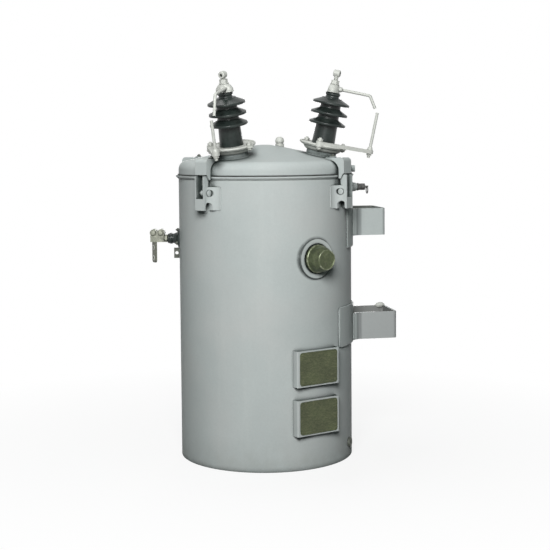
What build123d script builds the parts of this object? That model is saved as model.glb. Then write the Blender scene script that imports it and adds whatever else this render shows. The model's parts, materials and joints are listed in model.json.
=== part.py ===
from build123d import *
from math import atan2, cos, degrees, radians, sin, sqrt, tan
import os

# Pole mounted distribution transformer, in millimetres.
# The origin is the centre of the tank's foot, +Z is up and +X points at the pole.
# Angles round the tank are counted from +X, seen from above.

# Fits and cuts
seat = 0.3
overrun = 60.0

# Tank
tank_radius = 234.0
tank_height = 763.0
tank_sheet = 3.0
bottom_sheet = 4.0
bottom_recess = 14.0
rim_overhang = 7.0
rim_height = 7.0
gasket_height = 3.0
gasket_inset = 4.0
gasket_width = 15.0

# Cover: an upright skirt, a rounded knuckle and a cone with a rounded crown
cover_sheet = 3.0
cover_corner_rise = 35.0
cover_knuckle = 24.0
cover_slope = 12.0
crown_radius = 40.0
plug_radius = 9.5
plug_collar_radius = 12.0
plug_collar_height = 7.0
plug_height = 25.0
plug_dome_rise = 5.0
plug_circle_radius = 42.0

# Cover clamps: a bracket on the cover, a bracket on the tank and a swing bolt between them
clamp_angles = {"front_left": -139.5, "front_right": -43.0, "rear_right": 43.0, "rear_left": 139.5}
clamp_sheet = 3.5
hook_width = 39.0
hook_end_proud = 24.0
hook_top_rise = 46.0
hook_end_rise = 5.0
hook_leg_drop = 8.0
hook_leg_proud = 8.5
hook_bend = 10.0
hook_arc_rise = 11.0
hook_seat_inset = 20.0
hook_tail_inset = 30.5
hook_shelf_rise = 15.0
hook_arc_share = 0.28
keeper_clearance = 0.5
keeper_end_proud = 30.0
keeper_drop = 86.0
keeper_step_drop = 26.0
keeper_top_rise = 2.0
keeper_tab_drop = 56.5
keeper_foot_width = 27.0
keeper_foot_edge = 2.0
keeper_flare = 20.0
keeper_flare_share = 0.35
keeper_bend = 5.0
keeper_arch_radius = 9.0
keeper_arch_drop = 66.0
swing_pin_drop = 42.0
swing_pin_proud = 12.5
swing_pin_radius = 4.5
swing_head_radius = 8.5
swing_head_height = 3.0
swing_eye_radius = 9.0
swing_shank_radius = 4.0
swing_nut_radius = 7.5
swing_nut_height = 8.0

# High voltage bushings, both square to the cover's cone
bushing_angles = {"left": -131.5, "right": -27.5}
bushing_inset = 76.0
boss_radius = 40.0
boss_height = 16.0
spigot_radius = 24.0
spigot_depth = 22.0
bore_clearance = 1.0
flange_radius = 38.0
flange_height = 7.0
core_base_radius = 31.0
core_top_radius = 26.5
shed_radius = 49.0
shed_edge = 8.0
shed_root = 6.0
shed_droop = 4.0
shed_count = 3
shed_pitch = 27.4
shed_first = 57.0
neck_radius = 17.5
neck_height = 15.0
bead_radius = 20.0
bead_height = 7.0
ring_radius = 60.0
ring_height = 14.0
ring_edge = 5.0
ring_lug_radius = 11.0
ring_lug_circle_radius = 58.0
ring_bolt_radius = 5.0
ring_bolt_angles = {"left": (-35.5, 84.5, -155.5), "right": (-84.5, 35.5, 155.5)}
cap_half_depth = 15.5
cap_half_width = 25.0
cap_lip = 7.0
cap_shoulder_height = 15.0
cap_shoulder_half_depth = 14.0
cap_shoulder_half_width = 20.0
cap_top_radius = 11.0
cap_height = 22.0
nut_radius = 11.0
nut_height = 11.0
stem_radius = 5.5
stem_heights = {"left": 2.0, "right": 9.0}
eye_radius = 9.5
eye_width = 18.0
eye_edge = 3.0
eye_hole_radius = 4.0

# Arcing horns: a bar on the ring carries the lower rod, the cap carries the upper one
horn_radius = 4.0
horn_foot_radius = 126.0
horn_angle = 14.0
horn_bar_width = 20.0
horn_bar_height = 9.0
horn_rod_poke = 12.0
horn_rise_share = 0.5
horn_arm_length = 97.0
horn_bend_radius = 9.0
horn_tip_radius = 117.0
horn_leg_lengths = {"left": 51.0, "right": 31.0}
horn_gaps = {"left": 11.0, "right": 10.0}

# Low voltage bushings
lv_angles = {"front": 167.0, "rear": 123.0}
lv_drop = 174.0
lv_foot_radius = 23.0
lv_foot_edge = 3.0
lv_foot_length = 17.0
lv_waist_radius = 13.0
lv_body_radius = 14.5
lv_body_length = 34.0
lv_body_edge = 3.0
lv_stud_radius = 6.0
lv_stud_length = 43.0
lv_block_width = 30.0
lv_block_rise = 19.0
lv_block_drop = 9.0
lv_block_length = 37.0
lv_lug_radius = 8.5
lv_lug_rise = 15.5
lv_spade_width = 25.0
lv_spade_thickness = 5.5
lv_spade_setback = 9.5
lv_spade_length = 57.0
lv_spade_corner = 5.0
lv_spade_turn = 27.0
lv_spade_hole_radius = 4.5
lv_spade_hole_pitch = 29.0
lv_spade_hole_edge = 12.5
ground_tab_angle = 172.0
ground_tab_length = 15.0
ground_tab_sheet = 5.0
ground_tab_height = 28.0
ground_tab_gap = 1.0
ground_tab_hole_radius = 4.5

# Round cap and the two plates under it
cap_angle = -66.0
plate_angle = -66.5
cap_height_on_tank = 550.0
cap_ring_radius = 52.0
cap_ring_bore = 40.0
cap_ring_height = 4.0
knob_radius = 37.0
knob_lip = 12.0
knob_body_radius = 34.0
knob_step = 4.0
knob_end_radius = 28.0
knob_length = 47.0
knob_chamfer = 5.0
plate_lower_height = 140.0
plate_gap = 34.0
holder_width = 134.0
holder_height = 94.0
holder_standoff = 11.5
holder_sheet = 2.5
holder_bend = 4.0
plate_border = 4.0
plate_corner = 8.0
plate_sheet = 1.0
ground_pad_angle = -29.0
ground_pad_height = 40.0
ground_pad_radius = 13.0
ground_pad_thickness = 6.0
ground_pad_bore = 6.5

# Pole hangers: hat shaped plates on pads that wrap the tank
hanger_spacing = 284.5
hanger_standoffs = {"upper": 88.0, "lower": 120.0}
hanger_plate_height = 73.0
hanger_sheet = 6.0
hanger_half_width = 66.0
hanger_bend_radius = 9.0
hanger_flare_standoff = 10.0
hanger_foot_half_width = 114.0
hanger_foot_run = 66.0
hanger_bolt_radius = 10.5
pad_half_angles = {"upper": 33.0, "lower": 45.0}
pad_sheet = 5.0
pad_inner_margin = 27.0
pad_outer_margin = 3.0
pad_clearance = 5.0
pad_sides = {"upper": -1, "lower": 1}

# Pressure relief valve above the upper hanger
valve_angle = 0.0
valve_drop = 38.0
valve_boss_radius = 11.0
valve_boss_length = 14.0
valve_body_radius = 9.0
valve_body_length = 46.0
valve_stem_radius = 3.0
valve_length = 56.0
valve_ring_radius = 9.0
valve_ring_wire = 1.5

os.makedirs("parts", exist_ok=True)

# Places that follow from the sizes above
slope = radians(cover_slope)
cover_base = tank_height + gasket_height
cover_corner_height = tank_height + cover_corner_rise
hook_end_radius = tank_radius + hook_end_proud
hook_top_height = tank_height + hook_top_rise
hook_end_bottom = tank_height + hook_end_rise
hook_leg_bottom = tank_height - hook_leg_drop
hook_leg_radius = tank_radius + hook_leg_proud
hook_arc_start = tank_height + hook_arc_rise
hook_seat_radius = tank_radius - hook_seat_inset
hook_tail_radius = tank_radius - hook_tail_inset
hook_shelf_height = tank_height + hook_shelf_rise
keeper_end_radius = tank_radius + keeper_end_proud
keeper_bottom = tank_height - keeper_drop
keeper_step_height = tank_height - keeper_step_drop
keeper_top_height = tank_height + keeper_top_rise
keeper_tab_height = tank_height - keeper_tab_drop
keeper_arch_height = tank_height - keeper_arch_drop
swing_pin_height = tank_height - swing_pin_drop
swing_pin_radial = tank_radius + swing_pin_proud
bushing_circle = tank_radius - bushing_inset
lv_height = tank_height - lv_drop
ground_tab_top = lv_height - lv_foot_radius - ground_tab_gap
plate_heights = {"upper": plate_lower_height + holder_height + plate_gap, "lower": plate_lower_height}
upper_hanger_height = keeper_bottom - pad_clearance - pad_outer_margin - hanger_plate_height / 2
hanger_heights = {"upper": upper_hanger_height, "lower": upper_hanger_height - hanger_spacing}
valve_height = tank_height - valve_drop


def keep(name, piece):
    """Label a finished piece and write it to its own file."""
    piece.part.label = name
    export_step(piece.part, f"parts/{name}.step")


def outward(angle):
    """Level unit vector that points out of the tank at an angle."""
    return Vector(cos(radians(angle)), sin(radians(angle)), 0)


def wall_plane(angle, height, reach=0):
    """Plane that faces out of the tank: x runs round it, y is up and z is outwards."""
    out = outward(angle)
    round_tank = Vector(-out.Y, out.X, 0)
    return Plane(origin=out * reach + Vector(0, 0, height), x_dir=round_tank, z_dir=out)


def section_plane(angle):
    """Upright plane through the tank's axis: x is outwards and y is up."""
    out = outward(angle)
    return Plane(origin=(0, 0, 0), x_dir=out, z_dir=(out.Y, -out.X, 0))


def lathe_plane(plane):
    """Plane in which a profile is turned about another plane's z axis."""
    return Plane(origin=plane.origin, x_dir=plane.x_dir, z_dir=-plane.y_dir)


def lathe_axis(plane):
    """Axis that a lathe_plane profile is turned about."""
    return Axis(plane.origin, plane.z_dir)


def flank_height(reach):
    """Height of the cover's cone at a distance from the axis."""
    return cover_corner_height + (tank_radius - reach) * tan(slope)


def bushing_plane(angle, lift=0):
    """Plane on the cover's cone under a bushing: x runs down the slope, z is the bushing's axis."""
    out = outward(angle)
    axis = out * sin(slope) + Vector(0, 0, cos(slope))
    down_slope = out * cos(slope) - Vector(0, 0, sin(slope))
    foot = out * bushing_circle + Vector(0, 0, flank_height(bushing_circle))
    return Plane(origin=foot + axis * lift, x_dir=down_slope, z_dir=axis)


def polar(reach, angle):
    """Point at a distance and an angle in a plane."""
    return (reach * cos(radians(angle)), reach * sin(radians(angle)))


def cover_form(grow):
    """The space under the cover's outer skin, made larger all round by grow."""
    radius = tank_radius + grow
    corner = cover_corner_height + grow * (1 - sin(slope)) / cos(slope)
    crown = crown_radius + grow * sin(slope)
    with BuildPart() as form:
        with BuildSketch(Plane.XZ) as half:
            with BuildLine():
                base = Line((0, cover_base), (radius, cover_base))
                skirt = Line(base @ 1, (radius, corner))
                flank = Line(skirt @ 1, (crown, corner + (radius - crown) * tan(slope)))
                top = JernArc(flank @ 1, flank % 1, crown / sin(slope), cover_slope)
                Line(top @ 1, base @ 0)
            make_face()
            shoulder = half.vertices().group_by(Axis.X)[-1].sort_by(Axis.Y)[-1]
            fillet(shoulder, cover_knuckle + grow)
        revolve(axis=Axis.Z)
    return form.part


def tank_form(grow):
    """The tank's outer cylinder, made larger all round by grow."""
    with BuildPart() as form:
        with BuildSketch():
            Circle(tank_radius + grow)
        extrude(amount=tank_height)
    return form.part


cover_seat = cover_form(seat)
tank_seat = tank_form(seat)

# Tank shell
with BuildPart() as tank_wall:
    with BuildSketch():
        Circle(tank_radius)
        Circle(tank_radius - tank_sheet, mode=Mode.SUBTRACT)
    extrude(amount=tank_height)
keep("tank_wall", tank_wall)

with BuildPart() as tank_bottom:
    with BuildSketch(Plane.XY.offset(bottom_recess)):
        Circle(tank_radius - tank_sheet)
    extrude(amount=bottom_sheet)
keep("tank_bottom", tank_bottom)

with BuildPart() as tank_rim:
    with BuildSketch(Plane.XY.offset(tank_height - rim_height)):
        Circle(tank_radius + rim_overhang)
        Circle(tank_radius, mode=Mode.SUBTRACT)
    extrude(amount=rim_height)
    chamfer(tank_rim.faces().sort_by(Axis.Z)[0].edges().sort_by(SortBy.RADIUS)[-1], rim_height / 2)
keep("tank_rim", tank_rim)

with BuildPart() as cover_gasket:
    with BuildSketch(Plane.XY.offset(tank_height)):
        gasket_radius = tank_radius + rim_overhang - gasket_inset
        Circle(gasket_radius)
        Circle(gasket_radius - gasket_width, mode=Mode.SUBTRACT)
    extrude(amount=gasket_height)
keep("cover_gasket", cover_gasket)

# Cover, drilled for the bushings
with BuildPart() as cover:
    add(cover_form(0))
    add(cover_form(-cover_sheet), mode=Mode.SUBTRACT)
    for bushing_angle in bushing_angles.values():
        with BuildSketch(bushing_plane(bushing_angle)):
            Circle(spigot_radius + bore_clearance)
        extrude(amount=spigot_depth, both=True, mode=Mode.SUBTRACT)
keep("cover", cover)

with BuildPart() as cover_plug:
    plug_plane = Plane.XY.offset(flank_height(plug_circle_radius))
    plug_plane.origin = plug_plane.origin + outward(0) * plug_circle_radius
    with BuildSketch(lathe_plane(plug_plane)):
        with BuildLine():
            side = Polyline(
                (plug_collar_radius, -plug_collar_height),
                (plug_collar_radius, plug_collar_height),
                (plug_radius, plug_collar_height),
                (plug_radius, plug_height - plug_dome_rise),
            )
            dome_radius = (plug_radius**2 + plug_dome_rise**2) / (2 * plug_dome_rise)
            dome = RadiusArc(side @ 1, (0, plug_height), -dome_radius)
            Polyline(dome @ 1, (0, -plug_collar_height), side @ 0)
        make_face()
    revolve(axis=lathe_axis(plug_plane))
    add(cover_seat, mode=Mode.SUBTRACT)
keep("cover_plug", cover_plug)


def cover_hook(angle):
    """Pressed channel that bears on the cover's cone and hooks down over its skirt."""
    plane = section_plane(angle)
    bearing = flank_height(hook_seat_radius)
    arc_middle = (
        hook_leg_radius - (hook_leg_radius - hook_seat_radius) * hook_arc_share,
        bearing - (bearing - hook_arc_start) * hook_arc_share,
    )
    inner_end = hook_end_radius - clamp_sheet
    with BuildPart() as hook:
        with BuildSketch(plane):
            with BuildLine():
                leg = Line((hook_leg_radius, hook_leg_bottom), (hook_leg_radius, hook_arc_start))
                curve = ThreePointArc(leg @ 1, arc_middle, (hook_seat_radius, bearing))
                tail = Polyline(
                    curve @ 1,
                    (hook_tail_radius, bearing),
                    (hook_tail_radius, hook_top_height),
                    (hook_end_radius - hook_bend, hook_top_height),
                )
                bend = RadiusArc(tail @ 1, (hook_end_radius, hook_top_height - hook_bend), hook_bend)
                Polyline(
                    bend @ 1,
                    (hook_end_radius, hook_end_bottom),
                    (inner_end, hook_end_bottom),
                    ((inner_end + hook_leg_radius) / 2, hook_leg_bottom),
                    leg @ 0,
                )
            make_face()
        extrude(amount=hook_width / 2, both=True)
        with BuildSketch(plane):
            with BuildLine():
                Polyline(
                    (hook_tail_radius - overrun, hook_leg_bottom - overrun),
                    (inner_end, hook_leg_bottom - overrun),
                    (inner_end, hook_shelf_height),
                    (hook_tail_radius - overrun, hook_shelf_height),
                    close=True,
                )
            make_face()
            with BuildLine():
                Polyline(
                    (hook_tail_radius - overrun, hook_shelf_height + clamp_sheet),
                    (inner_end, hook_shelf_height + clamp_sheet),
                    (inner_end, hook_top_height - clamp_sheet),
                    (hook_tail_radius - overrun, hook_top_height - clamp_sheet),
                    close=True,
                )
            make_face()
        extrude(amount=hook_width / 2 - clamp_sheet, both=True, mode=Mode.SUBTRACT)
        with BuildSketch(Plane.XY.offset(hook_shelf_height)):
            with Locations(outward(angle) * swing_pin_radial):
                Circle(swing_shank_radius + keeper_clearance)
        extrude(amount=clamp_sheet, mode=Mode.SUBTRACT)
        add(cover_seat, mode=Mode.SUBTRACT)
    return hook


def tank_keeper(angle):
    """Hat shaped bracket that flares into the tank wall, with a slot for the swing bolt."""
    plane = section_plane(angle)
    half_width = hook_width / 2 - clamp_sheet - keeper_clearance
    inner_end = keeper_end_radius - clamp_sheet
    foot_height = keeper_step_height - keeper_bottom
    inside = tank_radius - clamp_sheet
    foot_end = half_width + keeper_foot_width
    foot_edge = sqrt(tank_radius**2 - foot_end**2) + keeper_foot_edge
    flare_corner = Vector(foot_edge, half_width)
    flare_chord = Vector((foot_edge + tank_radius + keeper_flare) / 2, (foot_end + half_width) / 2)
    flare_middle = flare_chord + (flare_corner - flare_chord) * keeper_flare_share
    with BuildPart() as feet:
        with BuildSketch(Plane(origin=(0, 0, keeper_bottom), x_dir=outward(angle), z_dir=(0, 0, 1))) as foot:
            with BuildLine():
                sole = Polyline(
                    (tank_radius + keeper_flare, half_width),
                    (inside - clamp_sheet, half_width),
                    (inside - clamp_sheet, foot_end),
                    (foot_edge, foot_end),
                )
                ThreePointArc(sole @ 1, flare_middle, sole @ 0)
            make_face()
            mirror(foot.sketch_local, about=Plane.XZ)
        extrude(amount=foot_height)
    with BuildPart() as keeper:
        with BuildSketch(plane):
            with BuildLine():
                Polyline(
                    (inside, keeper_bottom),
                    (keeper_end_radius, keeper_bottom),
                    (keeper_end_radius, keeper_top_height),
                    (hook_leg_radius, keeper_top_height),
                    (hook_leg_radius, keeper_step_height),
                    (inside, keeper_step_height),
                    close=True,
                )
            make_face()
        extrude(amount=half_width, both=True)
        web_edges = keeper.edges().filter_by(Axis.Z).group_by(SortBy.DISTANCE)[-1]
        fillet(web_edges, keeper_bend)
        add(feet.part)
        with BuildSketch(plane):
            with BuildLine():
                Polyline(
                    (0, keeper_bottom - overrun),
                    (inner_end, keeper_bottom - overrun),
                    (inner_end, keeper_tab_height),
                    (keeper_end_radius + overrun, keeper_tab_height),
                    (keeper_end_radius + overrun, keeper_top_height + overrun),
                    (0, keeper_top_height + overrun),
                    close=True,
                )
            make_face()
        extrude(amount=half_width - clamp_sheet, both=True, mode=Mode.SUBTRACT)
        arch_centre = (inner_end + tank_radius + clamp_sheet) / 2
        arch_spring = keeper_arch_height - keeper_arch_radius
        with BuildSketch(plane):
            with Locations((arch_centre, arch_spring)):
                Circle(keeper_arch_radius)
            with Locations((arch_centre, keeper_bottom)):
                Rectangle(2 * keeper_arch_radius, 2 * (arch_spring - keeper_bottom))
            with Locations((swing_pin_radial, swing_pin_height)):
                Circle(swing_pin_radius)
        extrude(amount=hook_width, both=True, mode=Mode.SUBTRACT)
        for seat_start, seat_depth in ((half_width, keeper_foot_width), (-half_width, -keeper_foot_width)):
            with BuildSketch(plane.offset(seat_start)):
                with Locations((swing_pin_radial, swing_pin_height)):
                    Circle(swing_head_radius + keeper_clearance)
            extrude(amount=seat_depth, mode=Mode.SUBTRACT)
        add(tank_seat, mode=Mode.SUBTRACT)
    return keeper


def swing_bolt(angle):
    """Pin through the tank bracket with an eye bolt on it and a nut on the hook's shelf."""
    plane = section_plane(angle)
    half_width = hook_width / 2 - clamp_sheet - keeper_clearance
    shelf_top = hook_shelf_height + clamp_sheet
    with BuildPart() as bolt:
        with BuildSketch(plane):
            with Locations((swing_pin_radial, swing_pin_height)):
                Circle(swing_pin_radius)
        extrude(amount=half_width, both=True)
        for head_start in (half_width, -half_width - swing_head_height):
            with BuildSketch(plane.offset(head_start)):
                with Locations((swing_pin_radial, swing_pin_height)):
                    Circle(swing_head_radius)
            extrude(amount=swing_head_height)
        with BuildSketch(plane):
            with Locations((swing_pin_radial, swing_pin_height)):
                Circle(swing_eye_radius)
        extrude(amount=swing_shank_radius, both=True)
        with BuildSketch(Plane.XY.offset(swing_pin_height)):
            with Locations(outward(angle) * swing_pin_radial):
                Circle(swing_shank_radius)
        extrude(amount=shelf_top + swing_nut_height - swing_pin_height)
        with BuildSketch(Plane.XY.offset(shelf_top)):
            with Locations(outward(angle) * swing_pin_radial):
                RegularPolygon(swing_nut_radius, 6, rotation=angle)
        extrude(amount=swing_nut_height)
    return bolt


for place, clamp_angle in clamp_angles.items():
    keep(f"cover_hook_{place}", cover_hook(clamp_angle))
    keep(f"tank_keeper_{place}", tank_keeper(clamp_angle))
    keep(f"swing_bolt_{place}", swing_bolt(clamp_angle))

# High voltage bushings, counted upwards from the cover's cone
ring_top = boss_height + ring_height
shed_tops = [ring_top + shed_first + step * shed_pitch for step in range(shed_count)]
neck_bottom = shed_tops[-1] + shed_edge + shed_root
bead_bottom = neck_bottom + neck_height - bead_height
cap_bottom = bead_bottom + bead_height
nut_bottom = cap_bottom + cap_height
stem_bottom = nut_bottom + nut_height
horn_height = cap_bottom + cap_height * horn_rise_share


def trunk_radius(height):
    """Radius of the porcelain's tapered trunk at a height above the cover."""
    share = (height - ring_top) / (neck_bottom - ring_top)
    return core_base_radius + (core_top_radius - core_base_radius) * share


def bushing_boss(angle):
    """Raised collar on the cover that a bushing stands on."""
    with BuildPart() as boss:
        with BuildSketch(bushing_plane(angle, -boss_height)):
            Circle(boss_radius)
            Circle(spigot_radius + bore_clearance, mode=Mode.SUBTRACT)
        extrude(amount=2 * boss_height)
        add(cover_seat, mode=Mode.SUBTRACT)
    return boss


def insulator(angle):
    """Turned porcelain: spigot, clamped flange, core with drooping sheds, neck and bead."""
    plane = bushing_plane(angle)
    with BuildPart() as porcelain:
        with BuildSketch(lathe_plane(plane)):
            with BuildLine():
                trunk = Polyline(
                    (0, -spigot_depth),
                    (spigot_radius, -spigot_depth),
                    (spigot_radius, boss_height),
                    (flange_radius, boss_height),
                    (flange_radius, boss_height + flange_height),
                    (core_base_radius, boss_height + flange_height),
                    (core_base_radius, ring_top),
                )
                last = trunk @ 1
                for shed in shed_tops:
                    lip = shed_radius - shed_edge / 2
                    under_root = shed + shed_droop
                    top_root = shed + shed_edge + shed_root
                    under = Polyline(last, (trunk_radius(under_root), under_root), (lip, shed))
                    edge = ThreePointArc(
                        under @ 1,
                        (shed_radius, shed + shed_edge / 2),
                        (lip, shed + shed_edge),
                    )
                    top = Line(edge @ 1, (trunk_radius(top_root), top_root))
                    last = top @ 1
                neck = Polyline(last, (neck_radius, neck_bottom), (neck_radius, bead_bottom))
                bead = ThreePointArc(
                    neck @ 1,
                    (bead_radius, bead_bottom + bead_height / 2),
                    (neck_radius, bead_bottom + bead_height),
                )
                Polyline(bead @ 1, (0, cap_bottom), trunk @ 0)
            make_face()
        revolve(axis=lathe_axis(plane))
    return porcelain


def clamp_ring(angle, bolt_angles):
    """Dished ring that holds the porcelain's flange down, with a bolt lug at each third."""
    plane = bushing_plane(angle)
    throat = core_base_radius + bore_clearance
    pocket = flange_radius + bore_clearance
    with BuildPart() as ring:
        with BuildSketch(lathe_plane(plane)):
            with BuildLine():
                rim = Polyline(
                    (throat, ring_top),
                    (ring_radius, ring_top),
                    (ring_radius, ring_top - ring_edge),
                )
                dish = Line(rim @ 1, (boss_radius, boss_height))
                Polyline(
                    dish @ 1,
                    (pocket, boss_height),
                    (pocket, boss_height + flange_height),
                    (throat, boss_height + flange_height),
                    rim @ 0,
                )
            make_face()
        revolve(axis=lathe_axis(plane))
        with BuildSketch(bushing_plane(angle, ring_top - ring_edge)):
            for bolt_angle in bolt_angles:
                with Locations(polar(ring_lug_circle_radius, bolt_angle)):
                    Circle(ring_lug_radius)
        extrude(amount=ring_edge)
        with BuildSketch(bushing_plane(angle, ring_top)):
            for bolt_angle in bolt_angles:
                with Locations(polar(ring_lug_circle_radius, bolt_angle)):
                    Circle(ring_bolt_radius)
        extrude(amount=-ring_height, mode=Mode.SUBTRACT)
    return ring


def bushing_terminal(angle, stem_height):
    """Oval bell shaped metal cap with a nut, a stem and an eye for the line."""
    plane = bushing_plane(angle)
    eye_centre = stem_bottom + stem_height + eye_radius
    eye_plane = Plane(origin=plane.origin + plane.z_dir * eye_centre, x_dir=plane.y_dir, z_dir=plane.x_dir)
    with BuildPart() as eye:
        with BuildSketch(eye_plane):
            Circle(eye_radius)
        extrude(amount=eye_width / 2, both=True)
        fillet(eye.edges().filter_by(GeomType.CIRCLE), eye_edge)
    with BuildPart() as terminal:
        with BuildSketch(bushing_plane(angle, cap_bottom)):
            Ellipse(cap_half_depth, cap_half_width)
        extrude(amount=cap_lip)
        with BuildSketch(bushing_plane(angle, cap_bottom + cap_lip)):
            Ellipse(cap_half_depth, cap_half_width)
        with BuildSketch(bushing_plane(angle, cap_bottom + cap_shoulder_height)):
            Ellipse(cap_shoulder_half_depth, cap_shoulder_half_width)
        with BuildSketch(bushing_plane(angle, nut_bottom)):
            Circle(cap_top_radius)
        loft()
        with BuildSketch(bushing_plane(angle, nut_bottom)):
            RegularPolygon(nut_radius, 6)
        extrude(amount=nut_height)
        with BuildSketch(bushing_plane(angle, stem_bottom)):
            Circle(stem_radius)
        extrude(amount=stem_height + eye_radius)
        add(eye.part)
        with BuildSketch(eye_plane):
            Circle(eye_hole_radius)
        extrude(amount=eye_width / 2, both=True, mode=Mode.SUBTRACT)
    return terminal


rod_foot = Vector(*polar(horn_foot_radius, horn_angle))
rod_bottom = ring_top - horn_rod_poke


def horn_bar(angle, bolt_angle):
    """Flat bar from a ring bolt out to the lower rod."""
    bar_start = Vector(*polar(ring_lug_circle_radius, bolt_angle))
    along = rod_foot - bar_start
    with BuildPart() as bar:
        with BuildSketch(bushing_plane(angle, ring_top)):
            with Locations(Location((bar_start + rod_foot) / 2, (0, 0, degrees(atan2(along.Y, along.X))))):
                SlotCenterToCenter(along.length, horn_bar_width)
            with Locations(bar_start):
                Circle(ring_bolt_radius, mode=Mode.SUBTRACT)
            with Locations(rod_foot):
                Circle(horn_radius, mode=Mode.SUBTRACT)
        extrude(amount=horn_bar_height)
    return bar


def lower_rod(angle, leg, gap):
    """Upright rod that ends a spark gap below the upper horn's tip."""
    top = horn_height - leg - gap
    with BuildPart() as rod:
        with BuildSketch(bushing_plane(angle, rod_bottom)):
            with Locations(rod_foot):
                Circle(horn_radius)
        extrude(amount=top - rod_bottom)
    return rod


def upper_horn(angle, leg, terminal):
    """Rod that leaves the cap level with the ring and turns down over the lower rod."""
    plane = bushing_plane(angle)
    turned = Plane(plane.origin, x_dir=plane.x_dir, z_dir=plane.z_dir).rotated((0, 0, horn_angle))
    with BuildPart() as horn:
        with BuildLine(lathe_plane(turned)) as path:
            FilletPolyline(
                (cap_top_radius / 2, horn_height),
                (horn_arm_length, horn_height),
                (horn_tip_radius, horn_height - leg),
                radius=horn_bend_radius,
            )
        with BuildSketch(Plane(origin=path.line @ 0, z_dir=path.line % 0)):
            Circle(horn_radius)
        sweep()
        add(terminal, mode=Mode.SUBTRACT)
    return horn


for side, bushing_angle in bushing_angles.items():
    keep(f"hv_boss_{side}", bushing_boss(bushing_angle))
    keep(f"hv_insulator_{side}", insulator(bushing_angle))
    keep(f"hv_clamp_ring_{side}", clamp_ring(bushing_angle, ring_bolt_angles[side]))
    terminal = bushing_terminal(bushing_angle, stem_heights[side])
    keep(f"hv_terminal_{side}", terminal)
    keep(f"horn_bar_{side}", horn_bar(bushing_angle, ring_bolt_angles[side][0]))
    keep(f"horn_lower_{side}", lower_rod(bushing_angle, horn_leg_lengths[side], horn_gaps[side]))
    keep(f"horn_upper_{side}", upper_horn(bushing_angle, horn_leg_lengths[side], terminal.part))


def lv_insulator(angle):
    """Turned bushing with a flared foot on the tank wall."""
    plane = wall_plane(angle, lv_height, tank_radius)
    with BuildPart() as porcelain:
        with BuildSketch(lathe_plane(plane)):
            with BuildLine():
                foot = Polyline(
                    (0, -lv_foot_edge),
                    (lv_foot_radius, -lv_foot_edge),
                    (lv_foot_radius, lv_foot_edge),
                )
                flare = Line(foot @ 1, (lv_waist_radius, lv_foot_length))
                Polyline(
                    flare @ 1,
                    (lv_body_radius, lv_body_length - lv_body_edge),
                    (lv_body_radius - lv_body_edge, lv_body_length),
                    (0, lv_body_length),
                    foot @ 0,
                )
            make_face()
        revolve(axis=lathe_axis(plane))
        add(tank_seat, mode=Mode.SUBTRACT)
    return porcelain


def lv_terminal(angle):
    """Stud, clamp block with two rounded lugs, and a turned, drilled spade that hangs from the block."""
    block_start = tank_radius + lv_stud_length
    block_end = block_start + lv_block_length
    spade_bottom = lv_height - lv_block_drop - lv_spade_length
    spade_foot = outward(angle) * (block_end - lv_spade_setback) + Vector(0, 0, spade_bottom)
    facing = wall_plane(angle + lv_spade_turn, 0)
    spade_plane = Plane(origin=spade_foot, x_dir=facing.x_dir, z_dir=facing.z_dir)
    with BuildPart() as terminal:
        with BuildSketch(wall_plane(angle, lv_height, tank_radius + lv_body_length)):
            Circle(lv_stud_radius)
        extrude(amount=lv_stud_length - lv_body_length)
        with BuildSketch(section_plane(angle)):
            with BuildLine():
                Polyline(
                    (block_start, lv_height - lv_block_drop),
                    (block_end, lv_height - lv_block_drop),
                    (block_end, lv_height + lv_lug_rise),
                    (block_end - lv_lug_radius, lv_height + lv_block_rise),
                    (block_start + lv_lug_radius, lv_height + lv_block_rise),
                    (block_start, lv_height + lv_lug_rise),
                    close=True,
                )
            make_face()
            with Locations(
                (block_start + lv_lug_radius, lv_height + lv_lug_rise),
                (block_end - lv_lug_radius, lv_height + lv_lug_rise),
            ):
                Circle(lv_lug_radius)
        extrude(amount=lv_block_width / 2, both=True)
        with BuildSketch(spade_plane) as spade:
            with Locations((0, (lv_spade_length + lv_block_drop) / 2)):
                Rectangle(lv_spade_width, lv_spade_length + lv_block_drop)
            chamfer(spade.vertices().group_by(Axis.Y)[0], lv_spade_corner)
            with Locations((0, lv_spade_hole_edge), (0, lv_spade_hole_edge + lv_spade_hole_pitch)):
                Circle(lv_spade_hole_radius, mode=Mode.SUBTRACT)
        extrude(amount=lv_spade_thickness / 2, both=True)
    return terminal


for place, lv_angle in lv_angles.items():
    keep(f"lv_insulator_{place}", lv_insulator(lv_angle))
    keep(f"lv_terminal_{place}", lv_terminal(lv_angle))

with BuildPart() as ground_tab:
    with BuildSketch(section_plane(ground_tab_angle)):
        with Locations((tank_radius, ground_tab_top - ground_tab_height / 2)):
            Rectangle(2 * ground_tab_length, ground_tab_height)
        hole_height = ground_tab_top - ground_tab_height / 2
        with Locations((tank_radius + ground_tab_length / 2, hole_height)):
            Circle(ground_tab_hole_radius, mode=Mode.SUBTRACT)
    extrude(amount=ground_tab_sheet / 2, both=True)
    add(tank_seat, mode=Mode.SUBTRACT)
keep("ground_tab", ground_tab)

# Round cap on its ring
cap_plane = wall_plane(cap_angle, cap_height_on_tank, tank_radius)
with BuildPart() as cap_ring:
    with BuildSketch(cap_plane.offset(cap_ring_height)):
        Circle(cap_ring_radius)
        Circle(cap_ring_bore, mode=Mode.SUBTRACT)
    extrude(amount=-overrun)
    add(tank_seat, mode=Mode.SUBTRACT)
keep("cap_ring", cap_ring)

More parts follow.
